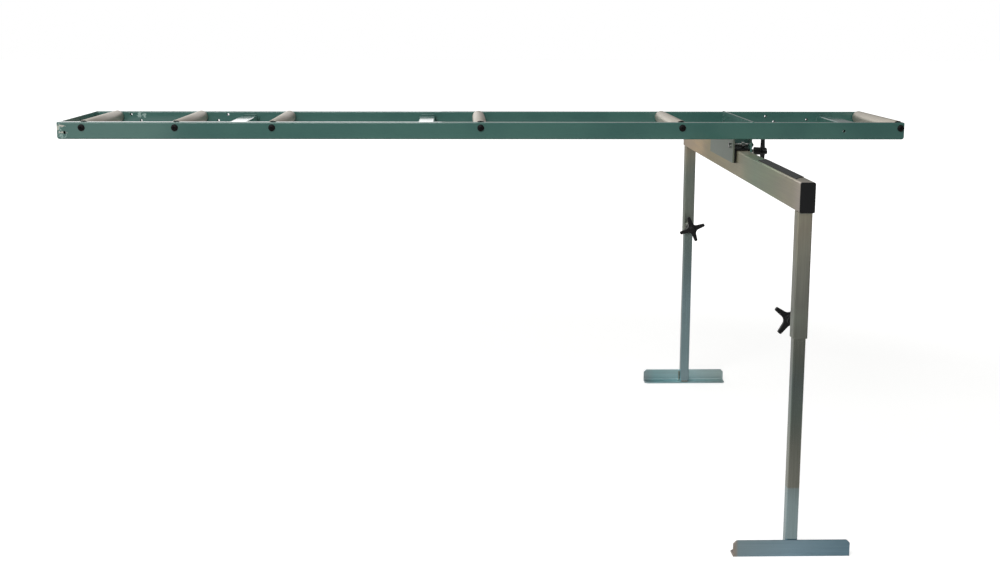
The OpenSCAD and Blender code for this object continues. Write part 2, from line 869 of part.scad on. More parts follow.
// Star knob with four arms along +Z, its hub's inner end at the origin
module star_knob(thread) {
    half = arm_root / 2;
    web = half + arm_web;
    tip_r = arm_tip / 2;
    hub_r = hub_diameter / 2;
    waist_r = waist_diameter / 2;
    crown_r = crown_diameter / 2;
    shoulder = arm_plane + arm_thickness / 2;
    difference() {
        union() {
            cylinder(r1 = hub_r, r2 = waist_r, h = arm_plane);
            translate([0, 0, arm_plane]) cylinder(r = hub_r, h = arm_thickness / 2);
            translate([0, 0, shoulder])
                cylinder(r1 = hub_r, r2 = crown_r, h = hub_length - shoulder);
            translate([0, 0, arm_plane - arm_thickness / 2])
                linear_extrude(arm_thickness) {
                    difference() {
                        square(2 * web, center = true);
                        for (i = [-1, 1], j = [-1, 1])
                            translate([i * web, j * web]) circle(arm_web);
                    }
                    for (a = [0 : 90 : 270])
                        rotate(a) {
                            polygon([
                                [web - past, half], [web, half],
                                [knob_radius - tip_r, tip_r], [knob_radius - tip_r, -tip_r],
                                [web, -half], [web - past, -half]
                            ]);
                            translate([knob_radius - tip_r, 0]) circle(tip_r);
                        }
                }
        }
        translate([0, 0, -past])
            cylinder(r = thread / 2 + running_fit, h = screw_engagement + past + clamp_touch);
    }
}

// Turn of each knob's arms, as they stand in the photograph
near_knob_turn = 36;
far_knob_turn = -20;

module lock_knob(side, turn) {
    color(black_plastic)
        at_leg(side)
            translate([0, leg_size / 2 + lock_standoff, lock_z])
                rotate([-90, 0, 0]) rotate(turn) star_knob(lock_thread);
}

module near_lock_knob() { lock_knob(NEAR, near_knob_turn); }
module far_lock_knob() { lock_knob(FAR, far_knob_turn); }

// The clamp screw's tip stands just off the beam's side
module clamp_screw() {
    tip_x = beam_x + beam_width / 2 + clamp_touch;
    color(bright_steel)
        translate([tip_x, clamp_y, clamp_screw_z])
            rotate([0, 90, 0])
                screw_rod(clamp_screw_thread / 2,
                    plate_back + clamp_standoff + screw_engagement - tip_x);
}

module clamp_knob() {
    color(black_plastic)
        translate([plate_back + clamp_standoff, clamp_y, clamp_screw_z])
            rotate([0, 90, 0]) star_knob(clamp_screw_thread);
}

near_rail();
far_rail();
end_plate();
left_cross_member();
middle_cross_member();
right_cross_member();
clamp_cross_plate();
frame_weld_beads();
roller_axles();
axle_screws();
axle_sleeves();
clamp_jaw_plate();
clamp_liner();
clamp_bolts();
clamp_lock_nuts();
clamp_weld_nuts();
clamp_screw_nut();
roller_tube(1);  // roller_tube_1
roller_tube(2);  // roller_tube_2
roller_tube(3);  // roller_tube_3
roller_tube(4);  // roller_tube_4
roller_tube(5);  // roller_tube_5
roller_tube(6);  // roller_tube_6
roller_caps(1);  // roller_caps_1
roller_caps(2);  // roller_caps_2
roller_caps(3);  // roller_caps_3
roller_caps(4);  // roller_caps_4
roller_caps(5);  // roller_caps_5
roller_caps(6);  // roller_caps_6
roller_bearings(1);  // roller_bearings_1
roller_bearings(2);  // roller_bearings_2
roller_bearings(3);  // roller_bearings_3
roller_bearings(4);  // roller_bearings_4
roller_bearings(5);  // roller_bearings_5
roller_bearings(6);  // roller_bearings_6
beam();
beam_end_caps();
grip_strip();
near_leg_tube();
far_leg_tube();
leg_weld_beads();
near_lock_boss();
far_lock_boss();
near_inner_leg();
far_inner_leg();
near_foot();
far_foot();
near_foot_welds();
far_foot_welds();
near_leg_plug();
far_leg_plug();
near_lock_screw();
far_lock_screw();
clamp_screw();
near_lock_knob();
far_lock_knob();
clamp_knob();
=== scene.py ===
"""Looks of a roller table on a height-adjustable trestle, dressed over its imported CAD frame."""

import json
import math

import bmesh
import bpy
from mathutils import Matrix, Vector

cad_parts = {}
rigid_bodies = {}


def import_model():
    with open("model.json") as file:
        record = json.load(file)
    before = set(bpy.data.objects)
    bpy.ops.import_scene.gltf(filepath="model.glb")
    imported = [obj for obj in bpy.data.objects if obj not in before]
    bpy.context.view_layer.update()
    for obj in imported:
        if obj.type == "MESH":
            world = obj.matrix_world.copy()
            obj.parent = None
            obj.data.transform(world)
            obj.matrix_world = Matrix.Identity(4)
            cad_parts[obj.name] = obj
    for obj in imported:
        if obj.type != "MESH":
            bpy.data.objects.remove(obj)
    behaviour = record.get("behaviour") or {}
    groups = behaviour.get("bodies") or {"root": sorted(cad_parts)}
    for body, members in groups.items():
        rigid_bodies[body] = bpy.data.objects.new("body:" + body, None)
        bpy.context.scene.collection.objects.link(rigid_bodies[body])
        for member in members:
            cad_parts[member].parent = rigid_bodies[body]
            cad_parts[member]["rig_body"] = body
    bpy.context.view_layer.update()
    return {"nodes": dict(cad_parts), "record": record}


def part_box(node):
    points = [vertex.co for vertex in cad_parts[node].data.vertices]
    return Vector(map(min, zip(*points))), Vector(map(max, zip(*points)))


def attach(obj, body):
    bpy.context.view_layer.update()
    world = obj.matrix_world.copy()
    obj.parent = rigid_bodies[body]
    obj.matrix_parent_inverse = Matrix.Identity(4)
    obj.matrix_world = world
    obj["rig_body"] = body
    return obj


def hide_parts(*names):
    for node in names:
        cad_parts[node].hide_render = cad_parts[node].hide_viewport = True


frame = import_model()

bl_info = {
    "name": "Roller table",
    "version": (1, 0, 0),
    "blender": (4, 5, 0),
    "location": "View3D > Sidebar > Roller table",
    "description": "Finishes, welds, screws, knobs and stage for a roller table on its trestle",
    "category": "Object",
}

MM = 0.001

# Camera of the photograph, fitted to its corners and edges: place in metres, turns in degrees
CAMERA_PLACE = (-0.0682, -3.5565, 1.0931)
CAMERA_YAW, CAMERA_PITCH, CAMERA_ROLL = -1.71, -10.68, -0.18
IMAGE_WIDTH = 1000
FOCAL_PIXELS = 1464.4
SENSOR_MM = 36

# Lamps of the studio: place, what it points at, width, height and watts
LAMPS = {
    "key_softbox": ((-1.2, -3.2, 3.2), (0.0, -0.2, 0.6), 2.4, 2.4, 110),
    "left_card": ((-2.3, -4.3, 0.75), (-0.9, 0.0, 0.8), 1.5, 1.2, 5),
    "back_card": ((-1.2, 3.5, 1.35), (-0.3, 0.0, 0.83), 2.2, 1.1, 6.5),
}

# Where the paper under the table fades into the studio floor in front of it, over this share each way
PAPER_EDGE = -1.17
PAPER_FADE = 0.35
FLOOR_SIZE = 30

# Emission that shows the lit paper and floor white to the camera, and where it rises to full strength
SHOWN_PAPER, SHOWN_FLOOR = 0.62, 0.95
WHITE_FROM, WHITE_TO = 1.6, 3.6

# What metal mirrors: a little of the lit paper, and a bright part of the studio floor with its two ends
MIRRORED_PAPER = 0.08
BRIGHT_NEAR_END, BRIGHT_FAR_END, BEYOND_BRIGHT = (-3.2, -6.0), (-7.4, -9.0), 0.1

# Surroundings by direction: axis, its values where a fade starts and ends, and the levels there
ROOM_FADES = (("X", -0.14, 0.3, 1.0, 0.3), ("Y", -0.9, 0.2, 0.4, 1.0), ("Y", 0.5, 0.9, 1.0, 0.78))
ROOM_LEVEL, MIRRORED_ROOM_LEVEL = 0.75, 1.0

# Kinds of node that come again and again, and sockets of the colour and the number Mix node, whose
# names repeat
MATH, VECTOR_MATH, COMBINE = "ShaderNodeMath", "ShaderNodeVectorMath", "ShaderNodeCombineXYZ"
NOISE, MAP_RANGE, MIX = "ShaderNodeTexNoise", "ShaderNodeMapRange", "ShaderNodeMix"
MIX_FACTOR, MIX_A, MIX_B, MIX_RESULT = 0, 6, 7, 2
MIX_NUMBER_A, MIX_NUMBER_B = 2, 3

# In a copy of a CAD mesh, points closer than this are one and faces flatter than this are joined
SAME_POINT = 0.001 * MM
FLAT_ANGLE = math.radians(0.3)

# Weld beads, as shares of the weld's leg: a straight one leans into its corner, a round one lies inwards
STRAIGHT_BEAD, STRAIGHT_LEAN = 0.56, 0.12
ROUND_BEAD, ROUND_INSET, ROUND_STEPS = 0.55, 0.6, 48
# Steps along a bead in each ripple, mean of the ripples' wave, bluntness of an end, sides of its section
STEPS_A_RIPPLE, MEAN_RIPPLE, BLUNT_END, BEAD_SIDES = 5.0, 0.6, 1.02, 12

# Threads: depth as a share of the pitch, rows of faces in a turn, sides, and the flanks' slope and crest
THREAD_DEPTH, THREAD_ROWS, THREAD_SIDES = 0.6134, 6.0, 28
FLANK_SLOPE, FLANK_CREST = 1.3, -0.15

# Radii of the M8 and the M10 threads, and of the pinhole in the middle of a bolt's head
BOLT_R, CLAMP_SCREW_R, HEAD_PINHOLE_R = 4 * MM, 5 * MM, 0.1 * MM
# Chamfer of a hexagon: where it starts, as a share of its corner's radius, and its slope
HEX_CHAMFER, HEX_SLOPE = 0.96, math.radians(30)

# Round heads: where the dome starts, as a share of the head's height, and the seed of their turns
HEAD_RIM, SCREW_SEED = 0.22, 4
# Cross recess: length and width of a wing as shares of the head's radius, place as a share of its height
RECESS_TOP, RECESS_DEEP = (1.05, 0.24, 1.1), (0.45, 0.16, 0.45)

# Roller ends: the tube's rolled rim, the bearing, and the moulded cap that holds it
TUBE_RIM, RIM_SHARE = 0.6 * MM, 0.3
BEARING_WIDTH, BEARING_BORE_R, RING_EDGE = 8 * MM, 5.05 * MM, 0.25 * MM
OUTER_RING, INNER_RING, SHIELD_SINK = 2.2 * MM, 2.3 * MM, 0.5 * MM
CAP_TAIL, CAP_FIT, CAP_STOP, CAP_ROUND = 12 * MM, 0.05 * MM, 5 * MM, 0.9 * MM
CAP_LIP, CAP_LEAD, CAP_SHOULDER, CAP_TAPER = 0.3 * MM, 0.4 * MM, 0.25 * MM, 0.6 * MM

# Rolled angle of the feet: wall, and how far its free corners are cut off
FOOT_WALL, FOOT_CUT = 4 * MM, 7 * MM

# Grip strip: rounding of its edges, how deep a rib's axis lies, how much narrower the ribs are, and
# the sides of their section
STRIP_EDGE, RIB_SINK, RIB_MARGIN, RIB_SIDES = 0.35 * MM, 0.25 * MM, 1.2 * MM, 14

# Star knobs: widths of an arm, radius of the hollows, thickness, radii of the hub, its two roundings
ARM_TIP, ARM_ROOT, HOLLOW_R, ARM_THICKNESS = 8.5 * MM, 12 * MM, 12 * MM, 9 * MM
HUB_R, WAIST_R, CROWN_R, CROWN_ROUND, HUB_EDGE = 10 * MM, 9 * MM, 7.5 * MM, 1.6 * MM, 0.8 * MM
# Place of the arms' middle plane along the hub, and roundings as shares of tip and thickness
ARM_PLANE, TIP_ROUND, ARM_ROUND = 2 / 3, 0.24, 0.16

# Enamel: noise past which an edge is chipped, how far rubbed paint pales, how much rougher a bare place
# is, and the step down to it against the orange peel's height
CHIP_LEVEL, RUB_STRENGTH, BARE_ROUGHNESS, CHIP_STEP = 0.58, 0.6, 0.25, -1.5
# Ragged patches: gain and offset of the noise at their rim, and how sharp the rim is
RAGGED_GAIN, RAGGED_OFFSET, RIM_SHARPNESS = 2.6, -0.95, 12.0

# Tone of the zinc along each piece, place in millimetres and colour: plating tint plus painted reflections
# and shade
BEAM_TINT_AND_SHEEN = (
    (-725, "#c9bdaf"), (-660, "#b6ae99"), (-600, "#b4ae97"), (-500, "#a8ae91"), (-300, "#9cab90"),
    (-200, "#a5aa8d"), (-120, "#b4ad92"), (290, "#b4a57a"), (400, "#c4ae88"), (500, "#d2b890"),
    (700, "#c9b192"),
)
NEAR_TUBE_TINT_AND_SHEEN = (
    (463, "#95988f"), (500, "#9ca096"), (530, "#979890"), (590, "#a1a196"), (620, "#a8a799"),
    (680, "#aca696"), (703, "#b2ae9c"),
)
FAR_TUBE_TINT_AND_SHEEN = (
    (460, "#9ca499"), (530, "#959d93"), (620, "#929b91"), (650, "#9c9f93"), (680, "#aba796"),
    (700, "#aca491"),
)
# The near sliding leg is bluish up to a sharp line and darker brownish above: partly the plating's edge,
# partly painted shade and reflection of its front face
NEAR_LEG_TINT_SHADE_AND_SHEEN = (
    (20, "#9cafb2"), (110, "#a8bbbe"), (143, "#a2b2b3"), (146, "#99998f"), (230, "#a1a399"),
    (300, "#919d96"), (360, "#87928f"), (440, "#94978e"),
)
FAR_LEG_TINT_AND_SHEEN = ((20, "#9ab2b8"), (100, "#8ea6ab"), (260, "#8ba1a7"), (320, "#889c9f"), (440, "#92a29e"))
NEAR_FOOT_TINT_AND_SHEEN = ((495, "#a89c93"), (501, "#a39f98"), (506, "#92a5ac"), (614, "#93adba"), (734, "#7d9aa9"))
FAR_FOOT_TINT_AND_SHEEN = ((495, "#a1afb3"), (530, "#a2c6ca"), (640, "#c2e0e3"), (734, "#bdd2d1"))

BORES = {mount["name"]: Vector(mount["pos_m"]) for mount in frame["record"]["mounts"] if "pos_m" in mount}


def linear(hex_colour):
    """Linear red, green and blue of an sRGB hex colour."""
    channels = [int(hex_colour[i : i + 2], 16) / 255 for i in (1, 3, 5)]
    return [c / 12.92 if c <= 0.04045 else ((c + 0.055) / 1.055) ** 2.4 for c in channels]


def colour_prop(name, hex_colour, description):
    """A colour that a user may change, with its default from an sRGB hex value."""
    return bpy.props.FloatVectorProperty(
        name=name, description=description, subtype="COLOR", size=3, min=0, max=1, default=linear(hex_colour)
    )


def length_prop(name, millimetres, description):
    """A length that a user may change, with its default in millimetres."""
    return bpy.props.FloatProperty(
        name=name, description=description, unit="LENGTH", precision=5, min=0, default=millimetres * MM
    )


class RollerTableColours(bpy.types.PropertyGroup):
    """Colours of the roller table's finishes"""

    enamel: colour_prop("Green enamel", "#37635c", "Paint of the table frame")
    enamel_light: colour_prop("Enamel, light", "#406c63", "Where the sprayed paint lies thinner")
    primer: colour_prop("Primer", "#bdbdb1", "What shows where the paint is chipped")
    zinc: colour_prop("Zinc plate", "#93958b", "Zinc plating of the small welded parts")
    jaw_zinc: colour_prop("Jaw plate", "#8b958a", "Cooler zinc plating of the clamp's jaw plate")
    chafe: colour_prop("Chafed paint", "#b2ccc5", "Where paint is rubbed thin and pale")
    roller: colour_prop("Roller tube", "#c9c2b6", "Plated tube of the rollers")
    fastener: colour_prop("Fasteners", "#b4b5b2", "Plated bolts, nuts and threaded rods")
    bearing: colour_prop("Bearings", "#a9abac", "Ground bearing steel")
    screw_black: colour_prop("Black screws", "#0f0e0f", "Black-finished round heads")
    plastic: colour_prop("Black plastic", "#151617", "Knobs and caps")
    rubber: colour_prop("Grip rubber", "#2f3130", "Grip strip on the beam")
    # The liner's near-black is partly its rubber and partly painted shade of the clamp's closed inside
    liner: colour_prop("Liner rubber", "#0d0f10", "Liner of the clamp's jaw plate")
    paper: colour_prop("Paper", "#d2d2d0", "Paper under the table")
    room: colour_prop("Studio floor", "#8c8c89", "Studio floor in front of the paper")


class RollerTableSizes(bpy.types.PropertyGroup):
    """Sizes of the details that the scene adds to the frame"""

    tube_edge: length_prop("Tube edge", 0.35, "Rounding of sawn tube ends and drilled holes")
    plate_edge: length_prop("Plate edge", 0.6, "Rounding of cut plate edges")
    foot_edge: length_prop("Foot edge", 0.9, "Rounding of the rolled foot angles")
    cap_edge: length_prop("Cap edge", 1.2, "Rounding of the beam's moulded end caps")
    rubber_edge: length_prop("Rubber edge", 0.5, "Rounding of the rubber liner")
    ripple_spacing: length_prop("Weld ripple", 2.2, "Distance between two ripples of a weld")
    ripple_depth: bpy.props.FloatProperty(
        name="Ripple depth", description="Depth of the weld ripples, as a share of the bead's radius",
        subtype="FACTOR", min=0, max=0.5, default=0.16,
    )
    roller_wall: length_prop("Roller wall", 1.5, "Wall of the roller tubes")
    rib_spacing: length_prop("Rib spacing", 13, "Distance between the grip strip's ribs, along the beam")
    rib_width: length_prop("Rib width", 6.5, "Width of a rib of the grip strip")
    rib_height: length_prop("Rib height", 0.9, "Height of a rib above the grip strip")
    rib_skew: length_prop("Rib skew", 7, "How far a rib runs along the beam while it crosses the strip")
    root_fillet: length_prop("Root fillet", 4.5, "Fillet in the root of the rolled foot angles")
    toe: length_prop("Toe", 2.2, "Rounding of the foot angles' toes")
    leg_pitch: length_prop("Leg screw pitch", 1.25, "Thread pitch of the M8 screws and bolts")
    clamp_pitch: length_prop("Clamp screw pitch", 1.5, "Thread pitch of the M10 clamp screw")
    knob_voxel: length_prop("Knob mesh", 0.75, "Mesh size of the moulded knobs")


# Mesh helpers


def plain_mesh(bm):
    """Mesh of a bmesh, which is freed."""
    mesh = bpy.data.meshes.new("shape")
    bm.to_mesh(mesh)
    bm.free()
    return mesh


def joined_triangles(node):
    """Bmesh of a CAD node with its loose triangles joined."""
    bm = bmesh.new()
    bm.from_mesh(frame["nodes"][node].data)
    bmesh.ops.remove_doubles(bm, verts=bm.verts, dist=SAME_POINT)
    return bm


def joined_faces(node):
    """Bmesh of a CAD node with its flat faces whole."""
    bm = joined_triangles(node)
    bmesh.ops.dissolve_limit(bm, angle_limit=FLAT_ANGLE, verts=bm.verts, edges=bm.edges)
    return bm


def smooth_by_angle(mesh, degrees):
    """Shades a mesh smooth, with the edges over an angle kept sharp."""
    bm = bmesh.new()
    bm.from_mesh(mesh)
    for face in bm.faces:
        face.smooth = True
    for edge in bm.edges:
        edge.smooth = len(edge.link_faces) == 2 and edge.calc_face_angle(0) < math.radians(degrees)
    bm.to_mesh(mesh)
    bm.free()


def from_bmesh(bm, degrees=30):
    """Closes a bmesh into a mesh with outward normals and smooth shading by angle."""
    bmesh.ops.recalc_face_normals(bm, faces=bm.faces)
    mesh = plain_mesh(bm)
    smooth_by_angle(mesh, degrees)
    return mesh


def temporary(mesh):
    """Temporary object that carries modifiers for a mesh."""
    shape = bpy.data.objects.new("shape", mesh)
    bpy.context.scene.collection.objects.link(shape)
    return shape


def evaluated_mesh(shape):
    """Plain mesh of a temporary object with its modifiers applied; the object is removed."""
    graph = bpy.context.evaluated_depsgraph_get()
    mesh = bpy.data.meshes.new_from_object(
        shape.evaluated_get(graph), preserve_all_data_layers=True, depsgraph=graph
    )
    bpy.data.objects.remove(shape)
    return mesh


def add_piece(name, mesh, material, node):
    """Makes a mesh the finished piece that stands for a CAD node and rides on its body."""
    body = frame["nodes"][node]["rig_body"]
    mesh.name = name
    mesh.materials.clear()
    mesh.materials.append(material)
    piece = bpy.data.objects.new(name, mesh)
    bpy.context.scene.collection.objects.link(piece)
    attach(piece, body)
    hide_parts(node)


def soften(node, material, radius, segments=2, sharp=30, bm=None):
    """Stands a CAD node's copy, or a shape given for it, with its cut edges rounded and marked for wear."""
    if bm is None:
        bm = joined_faces(node)
    for face in bm.faces:
        face.smooth = True
        face.material_index = 0
    mesh = plain_mesh(bm)
    mesh.materials.append(None)
    mesh.materials.append(None)
    shape = temporary(mesh)
    edges = shape.modifiers.new("Edges", "BEVEL")
    edges.width = radius
    edges.segments = segments
    edges.limit_method = "ANGLE"
    edges.angle_limit = math.radians(sharp)
    edges.harden_normals = True
    edges.material = 1
    # Flat faces stay flat up to the tubes' rounded corners
    flat = shape.modifiers.new("Flat faces", "WEIGHTED_NORMAL")
    flat.weight = 100
    finished = evaluated_mesh(shape)
    rim = finished.attributes.new("rim", "FLOAT", "FACE")
    for polygon in finished.polygons:
        rim.data[polygon.index].value = polygon.material_index
        polygon.material_index = 0
    add_piece(node + "_finish", finished, material, node)


def turn_profile(bm, profile, place, axis, segments=64, closed=True):
    """Turns a profile of (radius, distance) points about an axis through a place."""
    along = Vector(axis)
    across = along.orthogonal().normalized()
    third = along.cross(across)
    rings = []
    for radius, distance in profile:
        centre = Vector(place) + along * distance
        if radius == 0:
            rings.append([bm.verts.new(centre)])
            continue
        ring = []
        for i in range(segments):
            angle = 2 * math.pi * i / segments
            ring.append(bm.verts.new(centre + radius * (across * math.cos(angle) + third * math.sin(angle))))
        rings.append(ring)
    for a, b in zip(rings, rings[1:] + rings[:1] if closed else rings[1:]):
        for i in range(segments):
            j = (i + 1) % segments
            corners = [a[i % len(a)], a[j % len(a)], b[j % len(b)], b[i % len(b)]]
            corners = list(dict.fromkeys(corners))
            if len(corners) > 2:
                bm.faces.new(corners)


def hexagon(bm, place, axis, across_flats, height, bore, segments=48):
    """Hexagon nut or head with chamfered corners, from its seat along the axis."""
    along = Vector(axis)
    across = along.orthogonal().normalized()
    third = along.cross(across)
    flat = across_flats / 2
    chamfer_r = HEX_CHAMFER * flat / math.cos(math.pi / 6)
    rings = [[] for _ in range(6)]
    for i in range(segments):
        angle = 2 * math.pi * i / segments
        corner_r = flat / math.cos((angle + math.pi / 6) % (math.pi / 3) - math.pi / 6)
        drop = max(0, corner_r - chamfer_r) * math.tan(HEX_SLOPE)
        face_r = min(corner_r, chamfer_r)
        direction = across * math.cos(angle) + third * math.sin(angle)
        outline = [
            (bore, 0), (face_r, 0), (corner_r, drop), (corner_r, height - drop), (face_r, height),
            (bore, height),
        ]
        for ring, (radius, distance) in zip(rings, outline):
            ring.append(bm.verts.new(Vector(place) + along * distance + direction * radius))
    for a, b in zip(rings, rings[1:] + rings[:1]):
        for i in range(segments):
            j = (i + 1) % segments
            bm.faces.new([a[i], a[j], b[j], b[i]])


def centre_of(box):
    """Middle of a pair of corners."""
    return (box[0] + box[1]) / 2


def solids_of(node):
    """Corner pairs and centroids of a CAD node's separate solids."""
    bm = joined_triangles(node)
    # A dictionary keeps its order, so that each run finds the same solids and the same centroids
    left = dict.fromkeys(bm.verts)
    found = []
    while left:
        stack = [left.popitem()[0]]
        part = []
        while stack:
            vert = stack.pop()
            part.append(vert.co.copy())
            for edge in vert.link_edges:
                other = edge.other_vert(vert)
                if other in left:
                    del left[other]
                    stack.append(other)
        low = Vector(min(p[i] for p in part) for i in range(3))
        high = Vector(max(p[i] for p in part) for i in range(3))
        mean = sum(part, Vector()) / len(part)
        found.append((low, high, mean))
    bm.free()
    found.sort(key=lambda solid: [round(value, 5) for value in centre_of(solid[:2])])
    return found


def arc(centre, radius, first, last, steps):
    """Points of an arc in a plane, from one angle in degrees to another."""
    angles = [math.radians(first + (last - first) * i / steps) for i in range(steps + 1)]
    return [(centre[0] + radius * math.cos(a), centre[1] + radius * math.sin(a)) for a in angles]


def wall_between(bm, rings):
    """Closes two rings of points with as many faces as they have sides."""
    for i in range(len(rings[0])):
        j = (i + 1) % len(rings[0])
        bm.faces.new([rings[0][i], rings[0][j], rings[1][j], rings[1][i]])


# Nodes


def wire(tree, node, inputs):
    """Sets or links a node's inputs; a node given for an input gives its first output."""
    for name, value in inputs.items():
        if isinstance(value, bpy.types.Node):
            value = value.outputs[0]
        if isinstance(value, bpy.types.NodeSocket):
            tree.links.new(value, node.inputs[name])
        else:
            node.inputs[name].default_value = value


def add_node(tree, kind, *inputs, **settings):
    """Adds a node with its settings, and its inputs in order or in one dictionary by name or number."""
    node = tree.nodes.new(kind)
    for name, value in settings.items():
        setattr(node, name, value)
    named = inputs and isinstance(inputs[0], dict)
    wire(tree, node, inputs[0] if named else dict(enumerate(inputs)))
    return node


def new_tree(name, inputs):
    """Geometry Nodes tree with a geometry going through and named inputs."""
    tree = bpy.data.node_groups.new(name, "GeometryNodeTree")
    tree.interface.new_socket("Geometry", in_out="INPUT", socket_type="NodeSocketGeometry")
    for label, kind in inputs.items():
        tree.interface.new_socket(label, in_out="INPUT", socket_type="NodeSocket" + kind)
    tree.interface.new_socket("Geometry", in_out="OUTPUT", socket_type="NodeSocketGeometry")
    return tree, tree.nodes.new("NodeGroupInput").outputs


def close_tree(tree, geometry, material):
    """Ends a tree in Realize Instances and Set Material."""
    real = add_node(tree, "GeometryNodeRealizeInstances", geometry)
    made = add_node(tree, "GeometryNodeSetMaterial", {"Geometry": real, "Material": material})
    add_node(tree, "NodeGroupOutput", made)


def grown_mesh(source, tree, values):
    """Plain mesh of a Geometry Nodes tree run on a source mesh."""
    shape = temporary(source)
    modifier = shape.modifiers.new("Shape", "NODES")
    modifier.node_group = tree
    for item in tree.interface.items_tree:
        if item.in_out == "INPUT" and item.name in values:
            modifier[item.identifier] = values[item.name]
    return evaluated_mesh(shape)


def weld_tree():
    """Tree that lays a rippled weld bead along each line of its mesh."""
    tree, given = new_tree("Weld bead", {
        "Ripple spacing": "Float", "Ripple depth": "Float", "Seed": "Float", "Material": "Material",
    })
    spacing, depth = given["Ripple spacing"], given["Ripple depth"]
    curve = add_node(tree, "GeometryNodeMeshToCurve", given["Geometry"])
    step = add_node(tree, MATH, spacing, STEPS_A_RIPPLE, operation="DIVIDE")
    fine = add_node(tree, "GeometryNodeResampleCurve", {"Curve": curve, "Length": step}, mode="LENGTH")
    # Ripples along the bead, and a slower drift of its thickness
    travelled = add_node(tree, "GeometryNodeSplineParameter").outputs["Length"]
    turns = add_node(tree, MATH, travelled, spacing, operation="DIVIDE")
    half_turns = add_node(tree, MATH, turns, math.pi, operation="MULTIPLY")
    wave = add_node(tree, MATH, half_turns, operation="SINE")
    ripple = add_node(tree, MATH, wave, operation="ABSOLUTE")
    about_mean = add_node(tree, MATH, ripple, MEAN_RIPPLE, operation="SUBTRACT")
    swell = add_node(tree, MATH, about_mean, depth, operation="MULTIPLY")
    place = add_node(tree, "GeometryNodeInputPosition")
    wander = add_node(tree, NOISE, {
        "Vector": place, "W": given["Seed"], "Scale": per_mm(4), "Detail": 1.0,
    }, noise_dimensions="4D")
    centred = add_node(tree, MATH, wander, 0.5, operation="SUBTRACT")
    drift = add_node(tree, MATH, centred, depth, operation="MULTIPLY")
    rippled = add_node(tree, MATH, swell, 1.0, operation="ADD")
    share = add_node(tree, MATH, rippled, drift, operation="ADD")
    # An open bead ends in a rounded blob, a ring of weld doesn't end
    bead = add_node(tree, "GeometryNodeInputNamedAttribute", {"Name": "bead_radius"}, data_type="FLOAT")
    total = add_node(tree, "GeometryNodeSplineLength").outputs["Length"]
    left = add_node(tree, MATH, total, travelled, operation="SUBTRACT")
    to_end = add_node(tree, MATH, travelled, left, operation="MINIMUM")
    closeness = add_node(tree, MATH, to_end, bead, operation="DIVIDE", use_clamp=True)
    rest = add_node(tree, MATH, 1.0, closeness, operation="SUBTRACT")
    squared = add_node(tree, MATH, rest, rest, operation="MULTIPLY")
    blunt = add_node(tree, MATH, BLUNT_END, squared, operation="SUBTRACT")
    rounding = add_node(tree, MATH, blunt, operation="SQRT")
    ring = add_node(tree, "GeometryNodeInputSplineCyclic")
    ends = add_node(tree, "GeometryNodeSwitch", ring, rounding, 1.0, input_type="FLOAT")
    shaped = add_node(tree, MATH, share, ends, operation="MULTIPLY")
    radius = add_node(tree, MATH, shaped, bead, operation="MULTIPLY")
    section = add_node(
        tree, "GeometryNodeCurvePrimitiveCircle", {"Resolution": BEAD_SIDES, "Radius": 1.0}, mode="RADIUS"
    )
    rod = add_node(tree, "GeometryNodeCurveToMesh", {
        "Curve": fine, "Profile Curve": section, "Scale": radius, "Fill Caps": True,
    })
    close_tree(tree, rod, given["Material"])
    return tree


